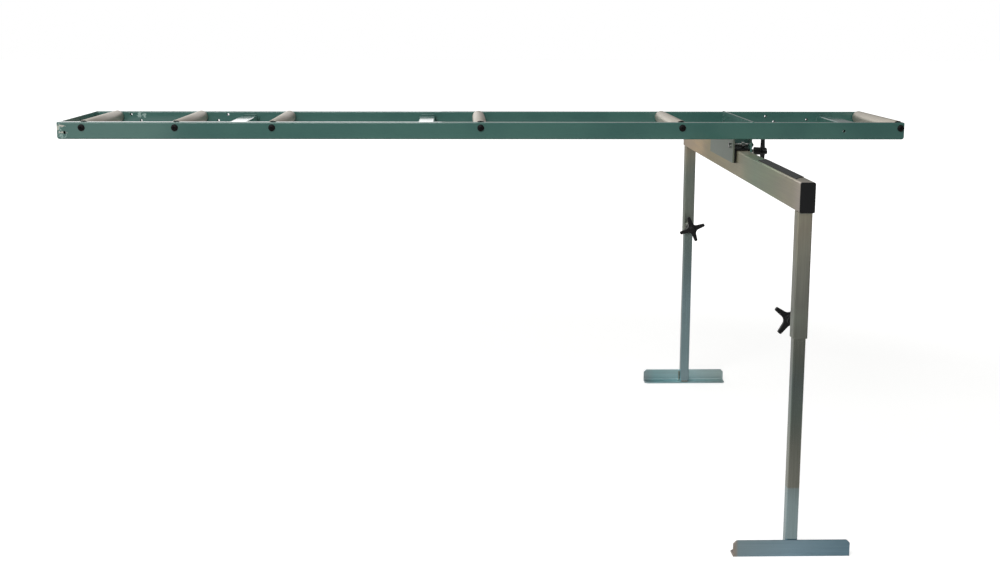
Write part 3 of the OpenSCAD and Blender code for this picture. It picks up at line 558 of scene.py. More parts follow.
def thread_tree():
    """Tree that turns each straight line of its mesh into a rod with a screw thread."""
    tree, given = new_tree("Threaded rod", {
        "Radius": "Float", "Pitch": "Float", "Depth": "Float", "Rows": "Float", "Sides": "Int",
        "Material": "Material",
    })
    pitch = given["Pitch"]
    curve = add_node(tree, "GeometryNodeMeshToCurve", given["Geometry"])
    step = add_node(tree, MATH, pitch, given["Rows"], operation="DIVIDE")
    fine = add_node(tree, "GeometryNodeResampleCurve", {"Curve": curve, "Length": step}, mode="LENGTH")
    # The rod's points keep how far along and how far from an end they lie, the circle's how far round
    travelled = add_node(tree, "GeometryNodeSplineParameter").outputs["Length"]
    total = add_node(tree, "GeometryNodeSplineLength").outputs["Length"]
    left = add_node(tree, MATH, total, travelled, operation="SUBTRACT")
    to_end = add_node(tree, MATH, travelled, left, operation="MINIMUM")
    line = tree.nodes.new("GeometryNodeCaptureAttribute")
    for label in ("Travelled", "To end"):
        line.capture_items.new("FLOAT", label)
    wire(tree, line, {"Geometry": fine, "Travelled": travelled, "To end": to_end})
    circle = add_node(
        tree, "GeometryNodeCurvePrimitiveCircle", {"Resolution": given["Sides"], "Radius": given["Radius"]},
        mode="RADIUS",
    )
    section = tree.nodes.new("GeometryNodeCaptureAttribute")
    section.capture_items.new("FLOAT", "Around")
    around = add_node(tree, "GeometryNodeSplineParameter").outputs["Factor"]
    wire(tree, section, {"Geometry": circle, "Around": around})
    rod = add_node(tree, "GeometryNodeCurveToMesh", {
        "Curve": line, "Profile Curve": section, "Fill Caps": True,
    })
    # Helix of the groove, and the chamfer at the rod's ends
    turns = add_node(tree, MATH, line.outputs["Travelled"], pitch, operation="DIVIDE")
    wound = add_node(tree, MATH, turns, section.outputs["Around"], operation="SUBTRACT")
    phase = add_node(tree, MATH, wound, operation="FRACT")
    centred = add_node(tree, MATH, phase, 0.5, operation="SUBTRACT")
    folded = add_node(tree, MATH, centred, operation="ABSOLUTE")
    valley = add_node(tree, MATH, folded, 2.0, operation="MULTIPLY")
    groove = add_node(tree, MATH, valley, FLANK_SLOPE, FLANK_CREST, operation="MULTIPLY_ADD", use_clamp=True)
    pitches = add_node(tree, MATH, line.outputs["To end"], pitch, operation="DIVIDE")
    chamfer = add_node(tree, MATH, 1.0, pitches, operation="SUBTRACT", use_clamp=True)
    deeper = add_node(tree, MATH, groove, chamfer, operation="MAXIMUM")
    sunk = add_node(tree, MATH, deeper, given["Depth"], operation="MULTIPLY")
    inwards = add_node(tree, MATH, sunk, -1.0, operation="MULTIPLY")
    outward = add_node(tree, "GeometryNodeInputNormal")
    offset = add_node(tree, VECTOR_MATH, {0: outward, "Scale": inwards}, operation="SCALE")
    cut = add_node(tree, "GeometryNodeSetPosition", {"Geometry": rod, "Offset": offset})
    close_tree(tree, cut, given["Material"])
    return tree


def screw_tree():
    """Tree that sets a screw on each point, facing the way that the point says and turned at random."""
    tree, given = new_tree("Screw heads", {"Screw": "Object", "Seed": "Int", "Material": "Material"})
    points = add_node(tree, "GeometryNodeMeshToPoints", given["Geometry"])
    facing = add_node(tree, "GeometryNodeInputNamedAttribute", {"Name": "facing"}, data_type="FLOAT_VECTOR")
    upright = add_node(tree, "FunctionNodeAlignRotationToVector", {"Vector": facing}, axis="Z")
    chance = add_node(
        tree, "FunctionNodeRandomValue", {"Seed": given["Seed"], 2: 0.0, 3: 2 * math.pi}, data_type="FLOAT"
    )
    twist = add_node(tree, COMBINE, {"Z": chance.outputs[1]})
    spin = add_node(tree, "FunctionNodeEulerToRotation", twist)
    turned = add_node(tree, "FunctionNodeRotateRotation", upright, spin, rotation_space="LOCAL")
    screw = add_node(tree, "GeometryNodeObjectInfo", {"Object": given["Screw"]}).outputs["Geometry"]
    heads = add_node(tree, "GeometryNodeInstanceOnPoints", {
        "Points": points, "Instance": screw, "Rotation": turned,
    })
    close_tree(tree, heads, given["Material"])
    return tree


def rib_tree():
    """Tree that lays slanting ribs over a strip: the strip comes in, and the ribs are added."""
    tree, given = new_tree("Ribbed strip", {
        "First": "Vector", "Spacing": "Float", "Count": "Int", "Across": "Float", "Skew": "Float",
        "Width": "Float", "Height": "Float", "Material": "Material",
    })
    width = given["Width"]
    step = add_node(tree, COMBINE, {"Y": given["Spacing"]})
    row = add_node(tree, "GeometryNodeMeshLine", {
        "Count": given["Count"], "Start Location": given["First"], "Offset": step,
    }, mode="OFFSET")
    half_across = add_node(tree, MATH, given["Across"], 0.5, operation="MULTIPLY")
    half_skew = add_node(tree, MATH, given["Skew"], 0.5, operation="MULTIPLY")
    finish = add_node(tree, COMBINE, {"X": half_across, "Y": half_skew})
    start = add_node(tree, VECTOR_MATH, {0: finish, "Scale": -1.0}, operation="SCALE")
    line = add_node(tree, "GeometryNodeCurvePrimitiveLine", {"Start": start, "End": finish}, mode="POINTS")
    # A round bar as wide as a rib, pressed flat to the rib's height
    oval = add_node(
        tree, "GeometryNodeCurvePrimitiveCircle", {"Resolution": RIB_SIDES, "Radius": 0.5}, mode="RADIUS"
    )
    grow = add_node(tree, COMBINE, {"X": width, "Y": width, "Z": width})
    section = add_node(tree, "GeometryNodeTransform", {"Geometry": oval, "Scale": grow})
    bar = add_node(tree, "GeometryNodeCurveToMesh", {
        "Curve": line, "Profile Curve": section, "Fill Caps": True,
    })
    full_height = add_node(tree, MATH, given["Height"], 2.0, operation="MULTIPLY")
    low = add_node(tree, MATH, full_height, width, operation="DIVIDE")
    press = add_node(tree, COMBINE, {"X": 1.0, "Y": 1.0, "Z": low})
    rib = add_node(tree, "GeometryNodeTransform", {"Geometry": bar, "Scale": press})
    ribs = add_node(tree, "GeometryNodeInstanceOnPoints", {"Points": row, "Instance": rib})
    joined = add_node(tree, "GeometryNodeJoinGeometry", given["Geometry"])
    wire(tree, joined, {0: ribs})
    close_tree(tree, joined, given["Material"])
    return tree


# Finishes


def per_mm(millimetres):
    """Noise scale whose features are about that many millimetres."""
    return 1 / (millimetres * MM)


def new_finish(name, colour, metallic, roughness, extra=None):
    """Material whose constant values stand on its shader's own sockets."""
    material = bpy.data.materials.new(name)
    material.use_nodes = True
    tree = material.node_tree
    shader = tree.nodes["Principled BSDF"]
    wire(tree, shader, {
        "Base Color": (*colour, 1), "Metallic": metallic, "Roughness": roughness, **(extra or {}),
    })
    place = add_node(tree, "ShaderNodeTexCoord").outputs["Object"]
    return material, tree, shader, place


def drawn_out(tree, place, axis, along_mm, across_mm, detail, distortion=0.0):
    """Noise whose features run along one axis, with their length and width in millimetres."""
    scale = [per_mm(along_mm if i == axis else across_mm) for i in range(3)]
    scaled = add_node(tree, VECTOR_MATH, place, scale, operation="MULTIPLY")
    return add_node(tree, NOISE, {
        "Vector": scaled, "Scale": 1.0, "Detail": detail, "Distortion": distortion,
    })


def spread(value, low, high):
    """Inputs of a Map Range node that spreads a noise's usual values between two levels."""
    return {"Value": value, "From Min": 0.3, "From Max": 0.7, "To Min": low, "To Max": high}


def patch(tree, place, centre, size, grain):
    """Mask of a ragged patch of paint loss, 1 inside, about a centre with a size along X, Y and Z."""
    away = add_node(tree, VECTOR_MATH, place, centre, operation="SUBTRACT")
    scaled = add_node(tree, VECTOR_MATH, away, size, operation="DIVIDE")
    distance = add_node(tree, VECTOR_MATH, scaled, operation="LENGTH").outputs["Value"]
    ragged = add_node(tree, NOISE, {"Vector": place, "Scale": grain, "Detail": 4.0})
    edge = add_node(tree, MATH, ragged, RAGGED_GAIN, RAGGED_OFFSET, operation="MULTIPLY_ADD")
    inside = add_node(tree, MATH, edge, distance, operation="SUBTRACT")
    return add_node(tree, MATH, inside, RIM_SHARPNESS, operation="MULTIPLY", use_clamp=True)


def patches(tree, place, mask, spots):
    """A mask with ragged patches added; a spot has its centre, its size and its grain in millimetres."""
    for centre, size, grain in spots:
        spot = patch(tree, place, centre, [length * MM for length in size], per_mm(grain))
        mask = add_node(tree, MATH, mask, spot, operation="MAXIMUM")
    return mask


def green_enamel(colours):
    """Air-dried enamel sprayed on steel: even green with a soft gloss and slight orange peel,
    rubbed pale and chipped to primer where the saw's pin and handling have worn it."""
    material, tree, shader, place = new_finish(
        "green_enamel", colours.enamel, 0.0, 0.5,
        {"Specular IOR Level": 0.2, "Coat Weight": 1.0, "Coat Roughness": 0.1},
    )
    # Thickness of the coat drifts over a hand's width
    drift = add_node(tree, NOISE, {"Vector": place, "Scale": per_mm(140), "Detail": 2.0})
    coat = add_node(tree, MAP_RANGE, {"Value": drift, "From Min": 0.35, "From Max": 0.65})
    tone = add_node(tree, MIX, {
        MIX_FACTOR: coat, MIX_A: (*colours.enamel, 1), MIX_B: (*colours.enamel_light, 1),
    }, data_type="RGBA").outputs[MIX_RESULT]
    # Chips about 5 mm apart along the rounded edges
    rim = add_node(tree, "ShaderNodeAttribute", attribute_name="rim").outputs["Fac"]
    flecks = add_node(tree, NOISE, {"Vector": place, "Scale": per_mm(5), "Detail": 3.0})
    high_flecks = add_node(tree, MATH, flecks, CHIP_LEVEL, operation="GREATER_THAN")
    chipped = add_node(tree, MATH, rim, high_flecks, operation="MULTIPLY")
    # Worn places that the photograph shows: the saw end and its pin hole
    low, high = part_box("near_rail")
    pin = BORES["saw_end_bore"]
    inner_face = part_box("far_rail")[0].y
    worn = patches(tree, place, chipped, (
        ((low.x + 13 * MM, low.y, high.z - 8.5 * MM), (20, 4, 5.5), 8),
        ((low.x + 2 * MM, low.y, high.z - 15 * MM), (4.5, 4, 13), 5),
        ((low.x + 9 * MM, low.y, high.z - 24 * MM), (16, 4, 3.6), 5),
        ((pin.x + 7 * MM, low.y, pin.z - 1 * MM), (4.5, 4, 6), 4),
    ))
    # Paint rubbed pale on the rear rail's inner face and at the saw end
    rubbed = patches(tree, place, 0.0, (
        ((low.x + 118 * MM, inner_face, high.z - 10 * MM), (32, 6, 17), 8),
        ((low.x + 10 * MM, low.y, high.z - 32 * MM), (20, 4, 10), 3),
        ((low.x + 5 * MM, low.y, high.z - 14 * MM), (12, 4, 20), 4),
    ))
    pale = add_node(tree, MATH, rubbed, RUB_STRENGTH, operation="MULTIPLY")
    thin = add_node(tree, MIX, {
        MIX_FACTOR: pale, MIX_A: tone, MIX_B: (*colours.chafe, 1),
    }, data_type="RGBA").outputs[MIX_RESULT]
    finish = add_node(tree, MIX, {
        MIX_FACTOR: worn, MIX_A: thin, MIX_B: (*colours.primer, 1),
    }, data_type="RGBA").outputs[MIX_RESULT]
    # Dull handling marks, and bare places that are rougher still
    smear = add_node(tree, NOISE, {"Vector": place, "Scale": per_mm(60), "Detail": 3.0})
    dull = add_node(tree, MAP_RANGE, {"Value": smear, "To Min": 0.47, "To Max": 0.53})
    rough = add_node(tree, MATH, worn, BARE_ROUGHNESS, dull, operation="MULTIPLY_ADD")
    # Orange peel of about 3 mm, and the step down to a chip
    peel = add_node(tree, NOISE, {"Vector": place, "Scale": per_mm(3), "Detail": 1.0})
    height = add_node(tree, MATH, worn, CHIP_STEP, peel, operation="MULTIPLY_ADD")
    bump = add_node(tree, "ShaderNodeBump", {"Height": height, "Strength": 0.2, "Distance": 0.1 * MM})
    wire(tree, shader, {"Base Color": finish, "Roughness": rough, "Normal": bump})
    return material


def tint_and_light_ramp(tree, distance, tint_and_light):
    """Colour at a distance along a piece: the plating's tint with painted reflections and shade."""
    first, last = tint_and_light[0][0] * MM, tint_and_light[-1][0] * MM
    share = add_node(tree, MAP_RANGE, {"Value": distance, "From Min": first, "From Max": last})
    ramp = add_node(tree, "ShaderNodeValToRGB", share)
    stops = ramp.color_ramp.elements
    while len(stops) < len(tint_and_light):
        stops.new(0.5)
    for stop, (millimetres, _colour) in zip(stops, tint_and_light):
        stop.position = (millimetres * MM - first) / (last - first)
    for stop, (_millimetres, colour) in zip(stops, tint_and_light):
        stop.color = (*linear(colour), 1)
    return ramp


def zinc_plating(name, along, tint_and_light, gloss=(0.28, 0.4), wander=120 * MM):
    """Bright zinc plating on drawn tube: a soft grey shine with fine lines along the tube,
    and long beige, greenish and bluish clouds of tone, which carry painted reflections and shade as well as
    the plating's tint."""
    material, tree, shader, place = new_finish(name, linear(tint_and_light[0][1]), 1.0, sum(gloss) / 2)
    axis = "XYZ".index(along)
    # Draw lines are coarser than the real 0.1 mm, so that they show
    drawn = drawn_out(tree, place, axis, 160, 1.2, 3.0)
    # Clouds run 200 mm along the tube and 35 mm across it
    clouds = drawn_out(tree, place, axis, 200, 35, 4.0, 0.3)
    distance = add_node(tree, "ShaderNodeSeparateXYZ", place).outputs[axis]
    centred = add_node(tree, MATH, clouds, 0.5, operation="SUBTRACT")
    wavy = add_node(tree, MATH, centred, wander, distance, operation="MULTIPLY_ADD")
    tone = tint_and_light_ramp(tree, wavy, tint_and_light)
    shade = add_node(tree, MAP_RANGE, spread(drawn, 0.9, 1.08))
    cloudy = add_node(tree, MAP_RANGE, spread(clouds, 0.93, 1.07))
    both = add_node(tree, MATH, shade, cloudy, operation="MULTIPLY")
    lined = add_node(tree, VECTOR_MATH, {0: tone, "Scale": both}, operation="SCALE")
    dull = add_node(tree, MAP_RANGE, spread(clouds, *gloss))
    bump = add_node(tree, "ShaderNodeBump", {"Height": drawn, "Strength": 0.15, "Distance": 0.05 * MM})
    wire(tree, shader, {"Base Color": lined, "Roughness": dull, "Normal": bump})
    return material


def satin_roller(colours):
    """Drawn and plated roller tube: pale satin steel, lightly scuffed across by the timber."""
    material, tree, shader, place = new_finish("satin_roller", colours.roller, 1.0, 0.48)
    along_y = 1
    drawn = drawn_out(tree, place, along_y, 120, 1.5, 2.0)
    # Scuffs run round the roller, a few millimetres wide
    scuffs = drawn_out(tree, place, along_y, 3, 60, 5.0)
    shade = add_node(tree, MAP_RANGE, spread(scuffs, 0.88, 1.05))
    tone = add_node(tree, VECTOR_MATH, {0: colours.roller, "Scale": shade}, operation="SCALE")
    dull = add_node(tree, MAP_RANGE, {"Value": scuffs, "To Min": 0.42, "To Max": 0.56})
    bump = add_node(tree, "ShaderNodeBump", {"Height": drawn, "Strength": 0.2, "Distance": 0.04 * MM})
    wire(tree, shader, {"Base Color": tone, "Roughness": dull, "Normal": bump})
    return material


def speckled_metal(name, colour, roughness, grain_mm):
    """Small turned or plated steel part: one tone with a fine, uneven shine."""
    material, tree, shader, place = new_finish(name, colour, 1.0, roughness)
    grain = add_node(tree, NOISE, {"Vector": place, "Scale": per_mm(grain_mm), "Detail": 4.0})
    shade = add_node(tree, MAP_RANGE, {"Value": grain, "To Min": 0.8, "To Max": 1.15})
    tone = add_node(tree, VECTOR_MATH, {0: colour, "Scale": shade}, operation="SCALE")
    dull = add_node(tree, MAP_RANGE, {
        "Value": grain, "To Min": roughness - 0.08, "To Max": roughness + 0.1,
    })
    wire(tree, shader, {"Base Color": tone, "Roughness": dull})
    return material


def black_finish(name, colour, roughness, grain_mm, relief_mm, extra=None):
    """Black moulding or coating: dark and even, with the grain of its tool in the surface."""
    material, tree, shader, place = new_finish(name, colour, 0.0, roughness, extra)
    grain = add_node(tree, NOISE, {"Vector": place, "Scale": per_mm(grain_mm), "Detail": 3.0})
    dust = add_node(tree, NOISE, {"Vector": place, "Scale": per_mm(18), "Detail": 3.0})
    shade = add_node(tree, MAP_RANGE, {"Value": dust, "To Min": 0.75, "To Max": 1.35})
    tone = add_node(tree, VECTOR_MATH, {0: colour, "Scale": shade}, operation="SCALE")
    dull = add_node(tree, MAP_RANGE, {"Value": dust, "To Min": roughness - 0.07, "To Max": roughness + 0.1})
    bump = add_node(tree, "ShaderNodeBump", {"Height": grain, "Strength": 0.3, "Distance": relief_mm * MM})
    wire(tree, shader, {"Base Color": tone, "Roughness": dull, "Normal": bump})
    return material


def finish_named(name):
    """The material of that name, made when it is first asked for."""
    colours = bpy.context.scene.roller_table_colours
    long_gloss = (0.18, 0.26)
    makers = {
        "green_enamel": lambda: green_enamel(colours),
        # Tones along each zinc piece: the plating's tint with painted reflections and shade
        "zinc_beam": lambda: zinc_plating(name, "Y", BEAM_TINT_AND_SHEEN),
        "zinc_near_tube": lambda: zinc_plating(name, "Z", NEAR_TUBE_TINT_AND_SHEEN),
        "zinc_far_tube": lambda: zinc_plating(name, "Z", FAR_TUBE_TINT_AND_SHEEN),
        # The near leg's sharp line of plating edge and painted shade stays unblurred
        "zinc_near_leg": lambda: zinc_plating(name, "Z", NEAR_LEG_TINT_SHADE_AND_SHEEN, long_gloss, 0.0),
        "zinc_far_leg": lambda: zinc_plating(name, "Z", FAR_LEG_TINT_AND_SHEEN, long_gloss),
        "zinc_near_foot": lambda: zinc_plating(name, "X", NEAR_FOOT_TINT_AND_SHEEN, wander=5 * MM),
        "zinc_far_foot": lambda: zinc_plating(name, "X", FAR_FOOT_TINT_AND_SHEEN, wander=40 * MM),
        "zinc_jaw": lambda: speckled_metal(name, Vector(colours.jaw_zinc), 0.34, 14),
        "zinc_weld": lambda: speckled_metal(name, Vector(colours.zinc), 0.3, 3),
        "satin_roller": lambda: satin_roller(colours),
        "plated_fastener": lambda: speckled_metal(name, Vector(colours.fastener), 0.26, 2),
        "ground_steel": lambda: speckled_metal(name, Vector(colours.bearing), 0.2, 1),
        "black_screw": lambda: black_finish(
            name, Vector(colours.screw_black), 0.55, 0.8, 0.05, {"Specular IOR Level": 0.15}
        ),
        "moulded_polyamide": lambda: black_finish(
            name, Vector(colours.plastic), 0.45, 0.5, 0.05, {"Specular IOR Level": 0.3}
        ),
        "ribbed_rubber": lambda: black_finish(name, Vector(colours.rubber), 0.7, 0.7, 0.08),
        # Near-black liner: rubber colour that also stands in for the deep shade inside the clamp
        "liner_rubber_and_shade": lambda: black_finish(
            name, Vector(colours.liner), 0.7, 0.7, 0.08, {"Specular IOR Level": 0.15}
        ),
    }
    return bpy.data.materials.get(name) or makers[name]()


# Operators


class PaintFrame(bpy.types.Operator):
    """Round the table frame's edges and paint it green"""

    bl_idname = "roller_table.paint_frame"
    bl_label = "Paint the table frame"

    def execute(self, context):
        sizes = context.scene.roller_table_sizes
        paint = finish_named("green_enamel")
        for node in ("near_rail", "far_rail"):
            soften(node, paint, sizes.tube_edge)
        for place in ("left", "middle", "right"):
            soften(place + "_cross_member", paint, sizes.tube_edge)
        for node in ("end_plate", "clamp_cross_plate"):
            soften(node, paint, sizes.plate_edge)
        return {"FINISHED"}


def bead_lines(node):
    """Mesh of lines along the weld beads of a CAD node, with each bead's radius on its points."""
    points, edges, radii = [], [], []
    for low, high, mean in solids_of(node):
        extent = high - low
        middle = centre_of((low, high))
        thin, wide, longest = sorted(range(3), key=lambda i: extent[i])
        if extent[longest] - extent[wide] < MM:
            # As wide as it is long: a weld round a boss
            flat = [i for i in range(3) if i != thin]
            first = len(points)
            for i in range(ROUND_STEPS):
                angle = 2 * math.pi * i / ROUND_STEPS
                point = middle.copy()
                for side, reach in zip(flat, (math.cos(angle), math.sin(angle))):
                    point[side] += (extent[side] / 2 - ROUND_INSET * extent[thin]) * reach
                points.append(point)
                edges.append((first + i, first + (i + 1) % ROUND_STEPS))
                radii.append(ROUND_BEAD * extent[thin])
            continue
        leg = (extent[thin] + extent[wide]) / 2
        for i in (thin, wide):
            middle[i] += math.copysign(STRAIGHT_LEAN * leg, mean[i] - middle[i])
        start, finish = middle.copy(), middle.copy()
        start[longest], finish[longest] = low[longest], high[longest]
        edges.append((len(points), len(points) + 1))
        points += [start, finish]
        radii += [STRAIGHT_BEAD * leg] * 2
    mesh = bpy.data.meshes.new("beads")
    mesh.from_pydata(points, edges, [])
    mesh.attributes.new("bead_radius", "FLOAT", "POINT").data.foreach_set("value", radii)
    return mesh


class LayWelds(bpy.types.Operator):
    """Lay rippled weld beads on the frame, the trestle and the feet"""

    bl_idname = "roller_table.lay_welds"
    bl_label = "Lay the weld beads"

    def execute(self, context):
        sizes = context.scene.roller_table_sizes
        tree = weld_tree()
        finishes = {
            "frame_weld_beads": "green_enamel", "leg_weld_beads": "zinc_weld",
            "near_foot_welds": "zinc_weld", "far_foot_welds": "zinc_weld",
        }
        for seed, (node, finish) in enumerate(finishes.items()):
            material = finish_named(finish)
            mesh = grown_mesh(bead_lines(node), tree, {
                "Ripple spacing": sizes.ripple_spacing, "Ripple depth": sizes.ripple_depth,
                "Seed": float(seed), "Material": material,
            })
            smooth_by_angle(mesh, 60)
            add_piece(node + "_ripples", mesh, material, node)
        return {"FINISHED"}


class FitAxleScrews(bpy.types.Operator):
    """Fit the round-head screws that hold the roller axles in the rails"""

    bl_idname = "roller_table.fit_axle_screws"
    bl_label = "Fit the axle screws"

    def execute(self, context):
        near_face, far_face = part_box("near_rail")[0].y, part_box("far_rail")[1].y
        places, facings = [], []
        for low, high, _mean in solids_of("axle_screws"):
            near = low.y < near_face
            middle = centre_of((low, high))
            places.append((middle.x, near_face if near else far_face, middle.z))
            facings += [0, -1 if near else 1, 0]
            radius = (high.x - low.x) / 2
            head = near_face - low.y if near else high.y - far_face
            length = high.y - low.y - head
        points = bpy.data.meshes.new("screw places")
        points.from_pydata(places, [], [])
        points.attributes.new("facing", "FLOAT_VECTOR", "POINT").data.foreach_set("vector", facings)
        screw = temporary(self.screw_mesh(radius, head, length))
        material = finish_named("black_screw")
        mesh = grown_mesh(points, screw_tree(), {
            "Screw": screw, "Seed": SCREW_SEED, "Material": material,
        })
        bpy.data.objects.remove(screw)
        smooth_by_angle(mesh, 35)
        add_piece("axle_screw_heads", mesh, material, "axle_screws")
        return {"FINISHED"}

    @staticmethod
    def screw_mesh(radius, head, length):
        """Domed head with a cross recess above Z 0 and its shank below."""
        shank, point, rim = radius / 2, 0.5 * MM, 0.3 * MM
        dome = [
            (radius * across, HEAD_RIM * head + (1 - HEAD_RIM) * head * up)
            for across, up in arc((0, 0), 1, 0, 82.5, 11)
        ]
        bm = bmesh.new()
        turn_profile(bm, [
            (0, -length), (shank - point, -length), (shank, -length + point), (shank, 0), (radius - rim, 0),
            (radius, rim), *dome, (0, head),
        ], (0, 0, 0), (0, 0, 1), segments=40, closed=False)
        body = temporary(from_bmesh(bm, 35))
        # Cross recess: two crossing wedges, as wide as a number 3 bit
        bm = bmesh.new()
        for turn in (0, math.pi / 2):
            for vert in bmesh.ops.create_cube(bm, size=1)["verts"]:
                wing, width, place = RECESS_DEEP if vert.co.z < 0 else RECESS_TOP
                vert.co = Vector((vert.co.x * radius * wing, vert.co.y * radius * width, head * place))
                vert.co.rotate(Matrix.Rotation(turn, 3, "Z"))
        cutter = temporary(from_bmesh(bm))
        cut = body.modifiers.new("Recess", "BOOLEAN")
        cut.operation = "DIFFERENCE"
        cut.object = cutter
        cut.solver = "EXACT"
        cut.use_self = True
        mesh = evaluated_mesh(body)
        bpy.data.objects.remove(cutter)
        return mesh


def tube_profile(bore, radius, length):
    """Section of a roller tube with its rims rolled round."""
    rim, corner = TUBE_RIM, RIM_SHARE * TUBE_RIM
    return [
        (bore, rim / 2), (bore + rim / 2, 0), (radius - rim, 0), (radius - corner, corner), (radius, rim),
        (radius, length - rim), (radius - corner, length - corner), (radius - rim, length),
        (bore + rim / 2, length), (bore, length - rim / 2),
    ]


def cap_profile(race_r, cap_r, bore, flange, setback):
    """Section of a moulded end cap: seat of the bearing, rounded flange, and tail inside the tube."""
    seat, tail = setback + BEARING_WIDTH, flange + CAP_TAIL
    return [
        (race_r, seat), (race_r, CAP_LIP), (race_r + CAP_LEAD, 0), (cap_r - CAP_ROUND, 0),
        (cap_r - CAP_SHOULDER, CAP_LIP), (cap_r, CAP_ROUND), (cap_r, flange), (bore - CAP_FIT, flange),
        (bore - CAP_FIT, tail - 0.5 * MM), (bore - CAP_TAPER, tail), (race_r - CAP_STOP, tail),
        (race_r - CAP_STOP, seat),
    ]


def ring_profile(inner_r, outer_r, sink):
    """Section of one ring of a bearing, with its faces sunk and its edges broken."""
    near, far, edge = sink, BEARING_WIDTH - sink, RING_EDGE
    return [
        (inner_r, near + edge), (inner_r + edge, near), (outer_r - edge, near), (outer_r, near + edge),
        (outer_r, far - edge), (outer_r - edge, far), (inner_r + edge, far), (inner_r, far - edge),
    ]


class DressRollers(bpy.types.Operator):
    """Turn the roller tubes, end caps and bearings, and finish the fixed axles"""

    bl_idname = "roller_table.dress_rollers"
    bl_label = "Dress the rollers"

    def execute(self, context):
        sizes = context.scene.roller_table_sizes
        for i in range(1, 7):
            self.dress(f"roller_tube_{i}", f"roller_caps_{i}", f"roller_bearings_{i}", sizes.roller_wall)
        for node in ("roller_axles", "axle_sleeves"):
            soften(node, finish_named("plated_fastener"), sizes.tube_edge)
        return {"FINISHED"}

    @staticmethod
    def dress(tube, caps, bearings, wall):
        """Turns one roller's tube, its two end caps and its two bearings."""
        low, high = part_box(tube)
        axis = centre_of((low, high))
        radius = (high.x - low.x) / 2
        bore = radius - wall
        bm = bmesh.new()
        section = tube_profile(bore, radius, high.y - low.y)
        turn_profile(bm, section, (axis.x, low.y, axis.z), (0, 1, 0), segments=96)
        add_piece(tube + "_satin", from_bmesh(bm), finish_named("satin_roller"), tube)

        caps_low, caps_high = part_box(caps)
        race_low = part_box(bearings)[0]
        race_r = centre_of(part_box(bearings)).x - race_low.x
        setback = race_low.y - caps_low.y
        ends = ((caps_low.y, 1), (caps_high.y, -1))
        section = cap_profile(race_r, (caps_high.x - caps_low.x) / 2, bore, low.y - caps_low.y, setback)
        bm = bmesh.new()
        for y, way in ends:
            turn_profile(bm, section, (axis.x, y, axis.z), (0, way, 0), segments=72)
        add_piece(caps + "_moulded", from_bmesh(bm), finish_named("moulded_polyamide"), caps)

        shield_in, shield_out = BEARING_BORE_R + INNER_RING, race_r - OUTER_RING
        bm = bmesh.new()
        for y, way in ends:
            for section in (
                ring_profile(shield_out, race_r, 0), ring_profile(shield_in, shield_out, SHIELD_SINK),
                ring_profile(BEARING_BORE_R, shield_in, 0),
            ):
                turn_profile(bm, section, (axis.x, y + way * setback, axis.z), (0, way, 0))
        add_piece(bearings + "_ground", from_bmesh(bm), finish_named("ground_steel"), bearings)


def threaded_mesh(ends, radius, pitch, material):
    """Threaded rods between pairs of end points."""
    source = bpy.data.meshes.new("rods")
    points = [point for pair in ends for point in pair]
    source.from_pydata(points, [(i, i + 1) for i in range(0, len(points), 2)], [])
    tree = bpy.data.node_groups.get("Threaded rod") or thread_tree()
    mesh = grown_mesh(source, tree, {
        "Radius": radius, "Pitch": pitch, "Depth": THREAD_DEPTH * pitch, "Rows": THREAD_ROWS,
        "Sides": THREAD_SIDES, "Material": material,
    })
    smooth_by_angle(mesh, 25)
    return mesh


class FitClamp(bpy.types.Operator):
    """Finish the clamp's jaw plate and liner, and fit its bolts and nuts"""

    bl_idname = "roller_table.fit_clamp"
    bl_label = "Fit the table clamp"

    def execute(self, context):
        sizes = context.scene.roller_table_sizes
        soften("clamp_jaw_plate", finish_named("zinc_jaw"), sizes.plate_edge)
        soften("clamp_liner", finish_named("liner_rubber_and_shade"), sizes.rubber_edge)
        seat_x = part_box("clamp_jaw_plate")[0].x
        plated = finish_named("plated_fastener")
        heads = bmesh.new()
        rods = []
        for low, high, _mean in solids_of("clamp_bolts"):
            middle = centre_of((low, high))
            head = seat_x - low.x
            # Across its flats a head is smaller than across its corners, whichever way these point
            across = min(high.y - low.y, high.z - low.z)
            hexagon(heads, (seat_x, middle.y, middle.z), (-1, 0, 0), across, head, HEAD_PINHOLE_R)
            rods.append(((seat_x - 0.5 * head, middle.y, middle.z), (high.x, middle.y, middle.z)))
        threads = threaded_mesh(rods, BOLT_R, sizes.leg_pitch, plated)
        bolts = bmesh.new()
        bolts.from_mesh(from_bmesh(heads, 20))
        bolts.from_mesh(threads)
        add_piece("clamp_bolts_threaded", plain_mesh(bolts), plated, "clamp_bolts")
        for node, finish, bore in (
            ("clamp_lock_nuts", "plated_fastener", BOLT_R), ("clamp_weld_nuts", "green_enamel", BOLT_R),
            ("clamp_screw_nut", "green_enamel", CLAMP_SCREW_R),
        ):
            bm = bmesh.new()
            for low, high, _mean in solids_of(node):
                middle = centre_of((low, high))
                across = min(high.y - low.y, high.z - low.z)
                hexagon(bm, (low.x, middle.y, middle.z), (1, 0, 0), across, high.x - low.x, bore)
            add_piece(node + "_chamfered", from_bmesh(bm, 20), finish_named(finish), node)
        return {"FINISHED"}


